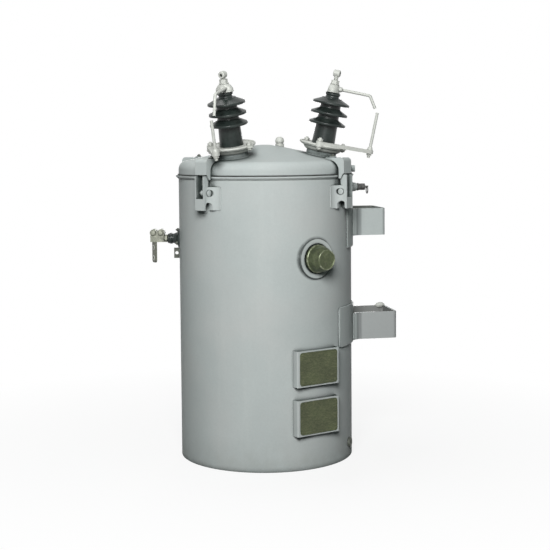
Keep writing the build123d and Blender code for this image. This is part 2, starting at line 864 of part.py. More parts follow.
with BuildPart() as round_cap:
    with BuildSketch(lathe_plane(cap_plane)):
        with BuildLine():
            Polyline(
                (0, -knob_lip),
                (knob_radius, -knob_lip),
                (knob_radius, knob_lip),
                (knob_body_radius, knob_lip + knob_step),
                (knob_end_radius, knob_length - knob_chamfer),
                (knob_end_radius - knob_chamfer, knob_length),
                (0, knob_length),
                close=True,
            )
        make_face()
    revolve(axis=lathe_axis(cap_plane))
    add(tank_seat, mode=Mode.SUBTRACT)
keep("round_cap", round_cap)

# Plates on holders that stand off the wall
for place, plate_height in plate_heights.items():
    face_plane = wall_plane(plate_angle, plate_height, tank_radius + holder_standoff)
    with BuildPart() as holder:
        with BuildSketch(face_plane):
            Rectangle(holder_width, holder_height)
        extrude(amount=-overrun)
        front_edges = holder.faces().sort_by(lathe_axis(face_plane))[-1].edges().filter_by(Axis.Z)
        fillet(front_edges, holder_bend)
        with BuildSketch(face_plane.offset(-holder_sheet)):
            Rectangle(holder_width - 2 * holder_sheet, holder_height)
        extrude(amount=-overrun, mode=Mode.SUBTRACT)
        add(tank_seat, mode=Mode.SUBTRACT)
    keep(f"plate_holder_{place}", holder)
    with BuildPart() as plate:
        with BuildSketch(face_plane):
            plate_width = holder_width - 2 * (plate_border + holder_bend)
            RectangleRounded(plate_width, holder_height - 2 * plate_border, plate_corner)
        extrude(amount=plate_sheet)
    keep(f"blank_plate_{place}", plate)

with BuildPart() as ground_pad:
    with BuildSketch(wall_plane(ground_pad_angle, ground_pad_height, tank_radius + ground_pad_thickness)):
        Circle(ground_pad_radius)
        Circle(ground_pad_bore, mode=Mode.SUBTRACT)
    extrude(amount=-2 * ground_pad_thickness)
    add(tank_seat, mode=Mode.SUBTRACT)
keep("ground_pad", ground_pad)

# Pole hangers
hanger_seat = tank_form(seat + pad_sheet + seat)
for place, hanger_height in hanger_heights.items():
    reach = tank_radius + hanger_standoffs[place]
    flare = tank_radius + hanger_flare_standoff
    pad_height = hanger_plate_height + pad_inner_margin + pad_outer_margin
    pad_shift = (pad_inner_margin - pad_outer_margin) / 2 * pad_sides[place]
    with BuildPart() as pad:
        pad_half_angle = pad_half_angles[place]
        with BuildSketch(section_plane(-pad_half_angle)):
            with Locations((tank_radius + seat + pad_sheet / 2, hanger_height + pad_shift)):
                Rectangle(pad_sheet, pad_height)
        revolve(axis=Axis.Z, revolution_arc=2 * pad_half_angle)
    keep(f"hanger_pad_{place}", pad)
    middle = hanger_half_width - hanger_sheet / 2
    web = reach - hanger_sheet / 2
    with BuildPart() as hanger:
        with BuildSketch(Plane.XY.offset(hanger_height - hanger_plate_height / 2)):
            with BuildLine():
                FilletPolyline(
                    (flare - hanger_foot_run, hanger_foot_half_width),
                    (flare, middle),
                    (web, middle),
                    (web, -middle),
                    (flare, -middle),
                    (flare - hanger_foot_run, -hanger_foot_half_width),
                    radius=hanger_bend_radius,
                )
            trace(line_width=hanger_sheet)
        extrude(amount=hanger_plate_height)
        with BuildSketch(wall_plane(0, hanger_height, reach)):
            Circle(hanger_bolt_radius)
        extrude(amount=-2 * hanger_sheet, mode=Mode.SUBTRACT)
        add(hanger_seat, mode=Mode.SUBTRACT)
    keep(f"hanger_{place}", hanger)

# Pressure relief valve with its pull ring
valve_plane = wall_plane(valve_angle, valve_height, tank_radius)
with BuildPart() as relief_valve:
    with BuildSketch(lathe_plane(valve_plane)):
        with BuildLine():
            Polyline(
                (0, -valve_stem_radius),
                (valve_boss_radius, -valve_stem_radius),
                (valve_boss_radius, valve_boss_length),
                (valve_body_radius, valve_boss_length),
                (valve_body_radius, valve_body_length),
                (valve_stem_radius, valve_body_length),
                (valve_stem_radius, valve_length),
                (0, valve_length),
                close=True,
            )
        make_face()
    revolve(axis=lathe_axis(valve_plane))
    add(tank_seat, mode=Mode.SUBTRACT)
    ring_plane = valve_plane.offset(valve_length - valve_stem_radius)
    ring_plane.origin = ring_plane.origin - ring_plane.y_dir * valve_ring_radius
    with BuildSketch(lathe_plane(ring_plane)):
        with Locations((valve_ring_radius, 0)):
            Circle(valve_ring_wire)
    revolve(axis=lathe_axis(ring_plane))
keep("relief_valve", relief_valve)
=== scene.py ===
"""Pole mounted transformer: finishes, fasteners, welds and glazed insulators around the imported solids."""

import json
import math

import bmesh
import bpy
from bpy.props import FloatProperty, FloatVectorProperty, IntProperty, PointerProperty
from bpy.types import Operator, Panel, PropertyGroup
from mathutils import Matrix, Quaternion, Vector


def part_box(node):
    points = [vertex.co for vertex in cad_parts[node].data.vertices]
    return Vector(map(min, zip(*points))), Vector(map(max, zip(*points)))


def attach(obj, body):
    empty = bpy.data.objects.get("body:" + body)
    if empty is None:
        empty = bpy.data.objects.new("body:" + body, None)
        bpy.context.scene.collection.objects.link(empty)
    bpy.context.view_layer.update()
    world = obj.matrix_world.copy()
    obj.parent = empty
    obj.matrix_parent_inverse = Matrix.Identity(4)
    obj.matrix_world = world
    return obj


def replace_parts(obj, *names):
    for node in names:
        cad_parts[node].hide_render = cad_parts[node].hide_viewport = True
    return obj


bl_info = {
    "name": "Pole mounted transformer",
    "version": (1, 0, 0),
    "blender": (4, 5, 0),
    "location": "3D View > Sidebar > Transformer",
    "description": "Dresses the transformer's solids with paint, glaze, fasteners and welds",
    "category": "Object",
}

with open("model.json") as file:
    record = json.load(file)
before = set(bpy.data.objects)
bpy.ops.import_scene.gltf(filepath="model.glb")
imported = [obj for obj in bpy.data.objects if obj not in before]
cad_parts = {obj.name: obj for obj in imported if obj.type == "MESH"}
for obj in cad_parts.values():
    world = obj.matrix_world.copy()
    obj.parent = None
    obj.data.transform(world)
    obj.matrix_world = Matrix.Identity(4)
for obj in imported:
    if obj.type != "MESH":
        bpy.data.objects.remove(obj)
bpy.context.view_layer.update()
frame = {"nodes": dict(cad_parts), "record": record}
solids = frame["nodes"]

MM = 0.001
BODY = "root"

TANK_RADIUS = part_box("tank_wall")[1].x
TANK_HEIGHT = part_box("tank_wall")[1].z
COVER_SLOPE = math.radians(12.0)
COVER_CORNER = TANK_HEIGHT + 35.0 * MM
BUSHING_ANGLES = {"left": -131.5, "right": -27.5}
BUSHING_CIRCLE = TANK_RADIUS - 76.0 * MM
CLAMP_ANGLES = {"front_left": -139.5, "front_right": -43.0, "rear_right": 43.0, "rear_left": 139.5}
LV_ANGLES = {"front": 167.0, "rear": 123.0}
LV_HEIGHT = TANK_HEIGHT - 174.0 * MM
CAP_ANGLE = -66.0
CAP_HEIGHT = 550.0 * MM
PLATE_ANGLE = -66.5
PLATE_HEIGHTS = {"upper": 268.0 * MM, "lower": 140.0 * MM}
PLATE_FACE = TANK_RADIUS + 12.5 * MM
PAD_ANGLES = {"upper": 33.0, "lower": 45.0}
VALVE_HEIGHT = TANK_HEIGHT - 38.0 * MM

# Heights that clear each hanger, for the painted shade on it
LOWER_HANGER_TOP = 0.41
UPPER_HANGER_TOP = 0.69

# Low voltage terminals, in millimetres from the tank's axis and above the floor
LUG_REACHES = (285.5, 305.5)
LUG_HEIGHT = 604.5
SPADE_REACH = 304.5
SPADE_HOLES = (535.5, 564.5)
SPADE_TURN = 27.0

# Cover clamps, in millimetres from the tank's axis and above the floor
PIN_REACH = 246.5
PIN_HEIGHT = 721.0
TAIL_REACH = 214.0
TAIL_HEIGHT = 808.6

# Half angles, in degrees, of the hangers' feet and of the keepers
HANGER_FOOT = 19.8
KEEPER_EDGE = 10.4

# Along a bushing's axis, in millimetres above the cover
RING_TOP = 30.0
RING_EDGE = 5.0
RING_BOLTS = {"left": (-35.5, 84.5, -155.5), "right": (-84.5, 35.5, 155.5)}
RING_BOLT_CIRCLE = 58.0
BAR_THICKNESS = 9.0
ROD_FOOT = (126.0, 14.0)
SHEDS = (87.0, 114.4, 141.8)
NECK = 155.8
CAP = 170.8
HORN = 181.8
STEM = 203.8
STEM_LENGTHS = {"left": 2.0, "right": 9.0}


def outward(angle):
    """Level unit vector that points out of the tank at an angle in degrees."""
    turn = math.radians(angle)
    return Vector((math.cos(turn), math.sin(turn), 0.0))


def basis(origin, across, along):
    """Matrix whose z axis is along, whose x axis is nearest to across, and whose lengths are millimetres."""
    z = along.normalized()
    x = (across - z * across.dot(z)).normalized()
    y = z.cross(x)
    turn = Matrix((x, y, z)).transposed().to_4x4()
    return Matrix.Translation(origin) @ turn @ Matrix.Scale(MM, 4)


def wall_basis(angle, height, reach=None):
    """On the tank wall: x runs round it, y is up and z points out."""
    out = outward(angle)
    reach = TANK_RADIUS if reach is None else reach
    return basis(out * reach + Vector((0, 0, height)), Vector((-out.y, out.x, 0)), out)


def section_basis(angle):
    """Through the tank's axis: x points out, y runs round and z is up, from the foot's centre."""
    return basis(Vector(), outward(angle), Vector((0, 0, 1)))


def bushing_basis(side):
    """On the cover's cone under a bushing: x runs down the slope and z is the bushing's axis."""
    out = outward(BUSHING_ANGLES[side])
    axis = out * math.sin(COVER_SLOPE) + Vector((0, 0, math.cos(COVER_SLOPE)))
    down = out * math.cos(COVER_SLOPE) - Vector((0, 0, math.sin(COVER_SLOPE)))
    rise = (TANK_RADIUS - BUSHING_CIRCLE) * math.tan(COVER_SLOPE)
    return basis(out * BUSHING_CIRCLE + Vector((0, 0, COVER_CORNER + rise)), down, axis)


def on_cover(spot):
    """The spot on the cover's cone above or below another one."""
    rise = (TANK_RADIUS - math.hypot(spot.x, spot.y)) * math.tan(COVER_SLOPE)
    return Vector((spot.x, spot.y, COVER_CORNER + rise))


def moved(place, x=0.0, y=0.0, z=0.0):
    """A place shifted along its own axes, in millimetres."""
    return place @ Matrix.Translation((x, y, z))


def faced(place, turn, axis):
    """A place turned about one of its own axes, in degrees."""
    return place @ Matrix.Rotation(math.radians(turn), 4, axis)


def polar(reach, angle, height=0.0):
    """Point at a distance and an angle in degrees, at a height."""
    turn = math.radians(angle)
    return Vector((reach * math.cos(turn), reach * math.sin(turn), height))


class Value:
    """A node's output that takes part in Python sums, so that shader maths reads as maths."""

    def __init__(self, finish, socket):
        self.finish = finish
        self.socket = socket

    def _math(self, operation, first, second):
        return self.finish.node("ShaderNodeMath", {"operation": operation}, {0: first, 1: second})

    def __add__(self, other):
        return self._math("ADD", self, other)

    __radd__ = __add__

    def __sub__(self, other):
        return self._math("SUBTRACT", self, other)

    def __rsub__(self, other):
        return self._math("SUBTRACT", other, self)

    def __mul__(self, other):
        return self._math("MULTIPLY", self, other)

    __rmul__ = __mul__

    def clamp(self, low, high):
        """This value from low to high, spread from 0 to 1 and held there."""
        return self.finish.node(
            "ShaderNodeMapRange", {"clamp": True}, {"Value": self, "From Min": low, "From Max": high}
        )


class Nodes:
    """A node tree under construction."""

    def __init__(self, tree):
        self.tree = tree
        self.tree.nodes.clear()

    def feed(self, socket, value):
        """Link a value to a socket, or set the socket where the value is a plain one."""
        if isinstance(value, Value):
            self.tree.links.new(value.socket, socket)
        else:
            socket.default_value = value

    def node(self, kind, settings=None, sockets=None, output=0):
        """Add a node: its settings first, then its sockets. Returns one of its outputs."""
        made = self.tree.nodes.new(kind)
        for key, value in (settings or {}).items():
            setattr(made, key, value)
        for key, value in (sockets or {}).items():
            self.feed(made.inputs[key], value)
        return None if output is None else Value(self, made.outputs[output])

    def seen(self):
        """1 where the camera, a mirror or glass looks, 0 for light that falls on other things."""
        kinds = ("Camera", "Glossy", "Transmission")
        rays = [self.node("ShaderNodeLightPath", output=f"Is {kind} Ray") for kind in kinds]
        return (rays[0] + rays[1] + rays[2]).clamp(0.0, 1.0)


class Finish(Nodes):
    """A material under construction: one surface shader and the nodes that feed it."""

    def __init__(self, name):
        self.material = bpy.data.materials.new(name)
        self.material.use_nodes = True
        super().__init__(self.material.node_tree)
        self.shader = self.tree.nodes.new("ShaderNodeBsdfPrincipled")
        self.output = self.tree.nodes.new("ShaderNodeOutputMaterial")
        self.tree.links.new(self.shader.outputs[0], self.output.inputs["Surface"])

    def surface(self, **sockets):
        """Set or link the shader's sockets, named with underscores for spaces."""
        for key, value in sockets.items():
            self.feed(self.shader.inputs[key.replace("_", " ")], value)
        return self.material

    def place(self, stretch=(1.0, 1.0, 1.0)):
        """Position on the object in metres, stretched along its axes."""
        spot = self.node("ShaderNodeTexCoord", output="Object")
        return self.node("ShaderNodeMapping", None, {"Vector": spot, "Scale": stretch})

    def along(self, axis, vector=None):
        """One coordinate of the position on the object, in metres, or of another vector."""
        vector = self.place() if vector is None else vector
        return self.node("ShaderNodeSeparateXYZ", None, {"Vector": vector}, output=axis)

    def vector(self, operation, first, second, output=0):
        """Difference, cross product or dot product of two vectors."""
        return self.node("ShaderNodeVectorMath", {"operation": operation}, {0: first, 1: second}, output)

    def length(self, vector):
        """Length of a vector."""
        return self.node("ShaderNodeVectorMath", {"operation": "LENGTH"}, {0: vector}, "Value")

    def beside(self, place, inner, outer):
        """1 at the edge of a turned fitting on the wall, down to 0 at an outer radius, in millimetres."""
        spot = self.vector("SUBTRACT", self.place(), place.translation)
        axis = place.col[2].to_3d().normalized()
        reach = self.length(self.vector("CROSS_PRODUCT", spot, axis))
        facing = self.vector("DOT_PRODUCT", spot, axis, "Value").clamp(-0.05, -0.03)
        edge = reach.clamp((inner - 1.0) * MM, inner * MM)
        return facing * edge * (1 - reach.clamp(inner * MM, outer * MM))

    def hollows(self, reach):
        """How far a spot lies in a corner or a slot, from 0 in the open to 1."""
        return 1 - self.node("ShaderNodeAmbientOcclusion", {"samples": 8}, {"Distance": reach}, output="AO")

    def noise(self, scale, detail=3.0, roughness=0.55, stretch=(1.0, 1.0, 1.0)):
        """Soft cloudy pattern from 0 to 1."""
        return self.node(
            "ShaderNodeTexNoise",
            None,
            {"Vector": self.place(stretch), "Scale": scale, "Detail": detail, "Roughness": roughness},
        )

    def cells(self, scale, output="Distance"):
        """Cell pattern: the distance to the nearest seed, or its colour."""
        return self.node("ShaderNodeTexVoronoi", None, {"Vector": self.place(), "Scale": scale}, output)

    def mix(self, amount, first, second):
        """Mix two colours."""
        return self.node("ShaderNodeMix", {"data_type": "RGBA"}, {0: amount, 6: first, 7: second}, output=2)

    def painted_corner_shade(self, tint, reach, low, high, amount, colour):
        """A tint that turns to a dark colour in corners and slots: painted shade."""
        return self.mix(self.hollows(reach).clamp(low, high) * amount, tint, shade(colour))

    def bump(self, height, strength, distance, normal=None):
        """Normal that follows a height pattern, in metres of depth."""
        sockets = {"Height": height, "Strength": strength, "Distance": distance}
        if normal is not None:
            sockets["Normal"] = normal
        return self.node("ShaderNodeBump", None, sockets)


def shade(colour, factor=1.0):
    """A colour made darker or lighter by a factor, with full alpha."""
    return tuple(min(1.0, part * factor) for part in colour[:3]) + (1.0,)


def tank_paint(colours):
    """Satin grey paint with soft sags, faint streaks and grime near the foot, with painted shade in corners, on
    the hangers and round the cap's ring.
    """
    finish = Finish("tank_paint")
    base = colours.paint
    clouds = finish.noise(7.0, 4.0)
    streaks = finish.noise(38.0, 3.0, 0.6, (1.0, 1.0, 0.06))
    speckle = finish.noise(900.0, 2.0)
    mottle = finish.noise(170.0, 3.0, 0.7)
    tint = finish.mix(clouds.clamp(0.34, 0.7), shade(base, 0.955), shade(base, 1.03))
    tint = finish.mix(streaks.clamp(0.52, 0.8) * 0.16, tint, shade((0.74, 0.77, 0.74), 0.86))
    tint = finish.mix(speckle.clamp(0.35, 0.75) * 0.10, tint, shade(base, 0.72))
    tint = finish.mix(mottle.clamp(0.36, 0.66) * 0.16, tint, shade(base, 0.74))
    foot = 1 - finish.along("Z").clamp(0.0, 0.09)
    grime = foot * finish.noise(26.0, 5.0).clamp(0.36, 0.7)
    tint = finish.mix(grime * 0.30, tint, shade((0.30, 0.30, 0.27)))
    warm = finish.noise(5.0, 3.0).clamp(0.45, 0.68)
    tint = finish.mix(warm * 0.30, tint, shade((0.560, 0.560, 0.545)))
    # Painted shade: darker in corners and slots, less so near the floor, and darker still in tight corners.
    corners = finish.hollows(0.075).clamp(0.22, 0.78) * (0.24 + finish.along("Z").clamp(0.01, 0.12) * 0.56)
    tint = finish.mix(corners, tint, shade((0.050, 0.072, 0.066)))
    tint = finish.painted_corner_shade(tint, 0.030, 0.28, 0.64, 0.88, (0.030, 0.040, 0.036))
    tint = finish.painted_corner_shade(tint, 0.012, 0.28, 0.92, 0.75, (0.025, 0.030, 0.028))
    # Painted shade: dark rings just outside the cap's ring and between the ring and the cap, broken up by noise.
    cap = wall_basis(CAP_ANGLE, CAP_HEIGHT)
    cap_ring_shade = finish.beside(cap, 51.0, 59.0) * 0.9 + finish.beside(cap, 37.0, 43.5)
    cap_ring_shade = cap_ring_shade * finish.noise(30.0, 4.0).clamp(0.1, 0.5)
    tint = finish.mix(cap_ring_shade.clamp(0.0, 1.0) * 0.92, tint, shade((0.030, 0.036, 0.034)))
    # Painted shade on the inner faces of the hangers' legs and webs.
    out = finish.along("X")
    up = finish.along("Z")
    facing = finish.node("ShaderNodeNewGeometry", output="Normal")
    sides = (finish.along("Y") * finish.along("Y", facing)).clamp(-0.01, -0.04)
    web = finish.along("X", facing).clamp(-0.3, -0.8)
    hanger_inner_shade = out.clamp(TANK_RADIUS + 0.008, TANK_RADIUS + 0.02) * (sides + web).clamp(0.0, 1.0)
    tint = finish.mix(hanger_inner_shade * 0.72, tint, shade((0.070, 0.072, 0.056)))
    # Painted shade: the lower hanger greyer and darker than the upper one.
    low = 1 - up.clamp(LOWER_HANGER_TOP, LOWER_HANGER_TOP + 0.01)
    lower_hanger_shade = out.clamp(TANK_RADIUS + 0.008, TANK_RADIUS + 0.012) * low
    tint = finish.mix(lower_hanger_shade * 0.5, tint, shade((0.335, 0.335, 0.335)))
    # Painted shade in a band at the hangers' feet, next to the tank wall.
    root = out.clamp(TANK_RADIUS + 0.003, TANK_RADIUS + 0.007)
    root = root * (1 - out.clamp(TANK_RADIUS + 0.017, TANK_RADIUS + 0.022))
    root = root * (1 - up.clamp(UPPER_HANGER_TOP, UPPER_HANGER_TOP + 0.01))
    tint = finish.mix(root * 0.5, tint, shade((0.120, 0.128, 0.130)))
    peel = finish.noise(420.0, 2.0)
    sag = finish.noise(9.0, 2.0)
    relief = finish.bump(sag, 0.25, 0.0016)
    relief = finish.bump(peel, 0.16, 0.0003, relief)
    gloss = 0.40 + clouds * 0.10 + grime * 0.2
    return finish.surface(Base_Color=tint, Roughness=gloss, Normal=relief, Specular_IOR_Level=0.03)


def zinc_coat(colours):
    """Dull zinc with faint crystal spangle and white bloom."""
    finish = Finish("zinc_coat")
    base = colours.zinc
    spangle = finish.cells(190.0, "Color")
    patch = finish.node("ShaderNodeSeparateColor", None, {"Color": spangle}, output=0)
    bloom = finish.noise(60.0, 5.0, 0.65).clamp(0.45, 0.75)
    tint = finish.mix(patch * 0.5, shade(base, 0.88), shade(base, 1.06))
    tint = finish.mix(bloom * 0.5, tint, shade((0.80, 0.82, 0.77), 0.84))
    # Painted shade in corners and slots.
    tint = finish.painted_corner_shade(tint, 0.045, 0.34, 0.86, 0.52, (0.06, 0.064, 0.056))
    tint = finish.painted_corner_shade(tint, 0.012, 0.32, 0.95, 0.75, (0.05, 0.056, 0.05))
    grit = finish.noise(700.0, 3.0)
    relief = finish.bump(grit, 0.18, 0.0003)
    gloss = 0.54 + patch * 0.12 + bloom * 0.16
    return finish.surface(Base_Color=tint, Metallic=0.26 - bloom * 0.20, Roughness=gloss, Normal=relief)


def dark_glaze(colours):
    """Deep glaze with slow ripples, mottling and pin holes."""
    finish = Finish("dark_glaze")
    base = colours.glaze
    mottle = finish.noise(48.0, 5.0, 0.6)
    pits = finish.cells(300.0).clamp(0.02, 0.12)
    dust = finish.noise(22.0, 4.0, 0.6).clamp(0.5, 0.82)
    tint = finish.mix(mottle.clamp(0.35, 0.7), shade(base, 0.72), shade(base, 1.7))
    tint = finish.mix(dust * 0.05, tint, shade((0.40, 0.42, 0.38)))
    ripple = finish.noise(85.0, 2.0)
    relief = finish.bump(ripple, 0.35, 0.0009)
    relief = finish.bump(pits, 0.12, 0.0004, relief)
    gloss = 0.26 + mottle * 0.12 + dust * 0.2
    return finish.surface(Base_Color=tint, Roughness=gloss, Normal=relief, Specular_IOR_Level=0.3)


def aged_bronze(colours):
    """Cast olive bronze, brighter where it is handled, with painted shade in its hollows."""
    finish = Finish("aged_bronze")
    base = colours.bronze
    patina = finish.noise(75.0, 6.0, 0.66)
    stain = finish.noise(24.0, 3.0).clamp(0.4, 0.7)
    tint = finish.mix(patina.clamp(0.36, 0.66), shade(base, 0.55), shade(base, 1.22))
    tint = finish.mix(stain * 0.45, tint, shade((0.22, 0.25, 0.19)))
    spade = 1 - finish.along("Z").clamp(LV_HEIGHT - 0.016, LV_HEIGHT - 0.006)
    tint = finish.mix(spade * (0.35 + patina * 0.4), tint, shade(base, 0.26))
    # Painted shade in corners and slots.
    tint = finish.painted_corner_shade(tint, 0.012, 0.25, 0.85, 0.8, (0.03, 0.032, 0.022))
    cast = finish.noise(520.0, 3.0)
    relief = finish.bump(cast, 0.35, 0.0005)
    return finish.surface(Base_Color=tint, Metallic=0.35, Roughness=0.42 + patina * 0.26, Normal=relief)


def olive_coat(colours):
    """Dark olive passivated metal with uneven colour, flecks and fine turning lines."""
    finish = Finish("olive_coat")
    base = colours.olive
    patch = finish.noise(36.0, 5.0, 0.62)
    wear = finish.noise(130.0, 4.0, 0.7).clamp(0.58, 0.76)
    tint = finish.mix(patch.clamp(0.34, 0.68), shade(base, 0.62), shade(base, 1.28))
    tint = finish.mix(wear * 0.35, tint, shade((0.62, 0.62, 0.45)))
    fleck = finish.noise(260.0, 4.0, 0.7).clamp(0.48, 0.62)
    tint = finish.mix(fleck * 0.60, tint, shade(base, 0.28))
    # Painted shade in corners and slots.
    tint = finish.painted_corner_shade(tint, 0.020, 0.22, 0.70, 0.88, (0.020, 0.022, 0.014))
    lines = finish.noise(1500.0, 2.0)
    relief = finish.bump(lines, 0.25, 0.0003)
    return finish.surface(Base_Color=tint, Metallic=0.50, Roughness=0.30 + patch * 0.2, Normal=relief)


def cap_rim_highlight(colours):
    """The cap's rims in a light metallic tone over the olive: painted highlight."""
    finish = Finish("cap_rim_highlight")
    base = colours.olive
    highlight_patch = finish.noise(85.0, 4.0, 0.65)
    tint = finish.mix(highlight_patch.clamp(0.44, 0.66), shade(base, 0.95), shade((0.36, 0.38, 0.28)))
    relief = finish.bump(finish.noise(900.0, 2.0), 0.2, 0.0003)
    return finish.surface(Base_Color=tint, Metallic=0.45, Roughness=0.30 + highlight_patch * 0.15, Normal=relief)


def etched_plate(colours):
    """Bare olive plate with a fine weathered grain."""
    finish = Finish("etched_plate")
    base = colours.plate
    grain = finish.noise(90.0, 5.0, 0.75, (1.0, 1.0, 6.0))
    cloud = finish.noise(22.0, 4.0)
    scuff = finish.noise(420.0, 5.0, 0.75).clamp(0.56, 0.75)
    tint = finish.mix(cloud.clamp(0.35, 0.68), shade(base, 0.74), shade(base, 1.22))
    tint = finish.mix(grain.clamp(0.45, 0.68) * 0.34, tint, shade((0.30, 0.31, 0.17)))
    tint = finish.mix(scuff * 0.26, tint, shade((0.36, 0.37, 0.26)))
    dark = finish.noise(210.0, 4.0, 0.7, (1.0, 1.0, 3.0)).clamp(0.48, 0.66)
    tint = finish.mix(dark * 0.62, tint, shade((0.026, 0.032, 0.014)))
    relief = finish.bump(grain, 0.35, 0.0005)
    return finish.surface(Base_Color=tint, Metallic=0.30, Roughness=0.46 + cloud * 0.2, Normal=relief)


def tarnished_brass(colours):
    """Dark tarnished brass with rubbed high spots."""
    finish = Finish("tarnished_brass")
    base = colours.brass
    age = finish.noise(160.0, 5.0, 0.65)
    tint = finish.mix(age.clamp(0.38, 0.66), shade(base, 0.55), shade(base, 1.9))
    relief = finish.bump(age, 0.3, 0.0005)
    return finish.surface(Base_Color=tint, Metallic=0.3, Roughness=0.34 + age * 0.25, Normal=relief)


def dark_steel(colours):
    """Dark oxidised steel with a little rust."""
    finish = Finish("dark_steel")
    base = colours.steel
    scale = finish.noise(110.0, 5.0, 0.66)
    rust = finish.noise(46.0, 5.0, 0.7).clamp(0.56, 0.74)
    tint = finish.mix(scale.clamp(0.36, 0.68), shade(base, 0.6), shade(base, 1.5))
    tint = finish.mix(rust * 0.30, tint, shade((0.20, 0.12, 0.07)))
    relief = finish.bump(scale, 0.4, 0.0005)
    return finish.surface(Base_Color=tint, Metallic=0.2 - rust * 0.1, Roughness=0.55 + scale * 0.2, Normal=relief)


def black_rubber(colours):
    """Matt black gasket rubber with bloom."""
    finish = Finish("black_rubber")
    base = colours.rubber
    bloom = finish.noise(70.0, 4.0)
    tint = finish.mix(bloom.clamp(0.4, 0.7), shade(base, 0.8), shade(base, 1.7))
    relief = finish.bump(finish.noise(600.0, 2.0), 0.3, 0.0003)
    return finish.surface(Base_Color=tint, Roughness=0.72 + bloom * 0.15, Normal=relief)


FINISHES = {
    "tank_paint": tank_paint,
    "galvanised": zinc_coat,
    "porcelain": dark_glaze,
    "bronze": aged_bronze,
    "olive_metal": olive_coat,
    "plate": etched_plate,
    "cap_rim_highlight": cap_rim_highlight,
    "valve_brass": tarnished_brass,
    "dark_steel": dark_steel,
    "gasket": black_rubber,
}
made_finishes = {}


def finish_of(slot):
    """The material of a record slot, made once."""
    if slot not in made_finishes:
        made_finishes[slot] = FINISHES[slot](bpy.context.scene.transformer_colours)
    return made_finishes[slot]


def dress_solid(name, slot):
    """Give a solid its finish."""
    mesh = solids[name].data
    mesh.materials.clear()
    mesh.materials.append(finish_of(slot))


class Shape:
    """Mesh under construction, in metres in the shared frame."""

    def __init__(self):
        self.mesh = bmesh.new()

    def rings(self, loops):
        """Skin a row of vertex loops, and close its ends."""
        rows = [[self.mesh.verts.new(spot) for spot in loop] for loop in loops]
        for low, high in zip(rows, rows[1:]):
            count = len(low)
            for i in range(count):
                j = (i + 1) % count
                self.mesh.faces.new((low[i], low[j], high[j], high[i]))
        self.mesh.faces.new(tuple(reversed(rows[0])))
        self.mesh.faces.new(tuple(rows[-1]))

    def turned(self, place, profile, steps=48):
        """Turn a profile of (radius, height) pairs about the place's z axis."""
        loops = []
        for radius, height in profile:
            loops.append([place @ polar(radius, 360.0 * i / steps, height) for i in range(steps)])
        self.rings(loops)

    def ring(self, place, profile, steps=48):
        """Turn a closed profile, such as a washer's, about the place's z axis."""
        rows = []
        for i in range(steps):
            spots = [place @ polar(radius, 360.0 * i / steps, height) for radius, height in profile]
            rows.append([self.mesh.verts.new(spot) for spot in spots])
        for k, low in enumerate(rows):
            high = rows[(k + 1) % steps]
            for i in range(len(low)):
                j = (i + 1) % len(low)
                self.mesh.faces.new((low[i], high[i], high[j], low[j]))

    def nut(self, place, across, height, bore=0.0, turn=0.0):
        """Hexagon with both ends chamfered; a bore of 0 makes it a solid head."""
        flat = across / 2
        steps = 36
        rows = [[], [], [], []]
        for i in range(steps):
            angle = 360.0 * i / steps
            corner = flat / math.cos(math.radians((angle + 30.0) % 60.0 - 30.0))
            drop = (corner - flat) * 0.62 + 0.15
            profile = ((flat * 0.93, 0.0), (corner, drop), (corner, height - drop), (flat * 0.93, height))
            for row, (reach, level) in zip(rows, profile):
                row.append(place @ polar(reach, angle + turn, level))
        if bore:
            for level in (height, height * 0.4):
                rows.append([place @ polar(bore, 360.0 * i / steps + turn, level) for i in range(steps)])
        self.rings(rows)

    def washer(self, place, radius, bore, height):
        """Flat ring with eased edges."""
        ease = min(0.4, height / 4)
        self.ring(
            place,
            [
                (bore, 0.0),
                (radius - ease, 0.0),
                (radius, ease),
                (radius, height - ease),
                (radius - ease, height),
                (bore, height),
            ],
        )

    def threaded(self, place, radius, start, end, pitch=1.5):
        """Threaded rod end with a chamfer at its tip."""
        profile = [(radius * 0.86, start)]
        height = start
        while height + pitch < end - pitch:
            profile += [(radius, height + pitch * 0.35), (radius, height + pitch * 0.5)]
            height += pitch
            profile.append((radius * 0.86, height))
        profile += [(radius * 0.86, end - 0.4), (radius * 0.66, end)]
        self.turned(place, profile, 24)

    def tube(self, path, radius, steps=12, swell=None):
        """Round bar along a path of points in the frame; swell scales the radius at each point."""
        loops = []
        side = None
        for i, spot in enumerate(path):
            ahead = path[min(i + 1, len(path) - 1)] - path[max(i - 1, 0)]
            along = ahead.normalized()
            if side is None:
                side = along.orthogonal().normalized()
            side = (side - along * side.dot(along)).normalized()
            other = along.cross(side)
            size = radius * (swell[i] if swell else 1.0)
            loop = []
            for k in range(steps):
                turn = 2 * math.pi * k / steps
                loop.append(spot + (side * math.cos(turn) + other * math.sin(turn)) * size)
            loops.append(loop)
        self.rings(loops)

    def bead(self, path, radius):
        """Weld bead: a bar with the ripple of its passes, sunk halfway into the corner."""
        dense = []
        for start, end in zip(path, path[1:]):
            pieces = max(1, round((end - start).length / (1.6 * MM)))
            dense += [start.lerp(end, k / pieces) for k in range(pieces)]
        dense.append(path[-1])
        swell = []
        for i in range(len(dense)):
            ripple = 1.0 + 0.10 * math.sin(i * 2.1) + 0.06 * math.sin(i * 0.37 + 1.0)
            end = min(i, len(dense) - 1 - i)
            swell.append(ripple * min(1.0, 0.35 + end * 0.22))
        self.tube(dense, radius, 8, swell)

    def finish(self, name, slot, sharp=34.0):
        """Turn the mesh into a piece that rides on the tank."""
        bmesh.ops.remove_doubles(self.mesh, verts=self.mesh.verts, dist=1e-7)
        bmesh.ops.recalc_face_normals(self.mesh, faces=self.mesh.faces)
        data = bpy.data.meshes.new(name)
        self.mesh.to_mesh(data)
        self.mesh.free()
        data.shade_smooth()
        data.set_sharp_from_angle(angle=math.radians(sharp))
        piece = bpy.data.objects.new(name, data)
        bpy.context.scene.collection.objects.link(piece)
        data.materials.append(finish_of(slot))
        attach(piece, BODY)
        return piece


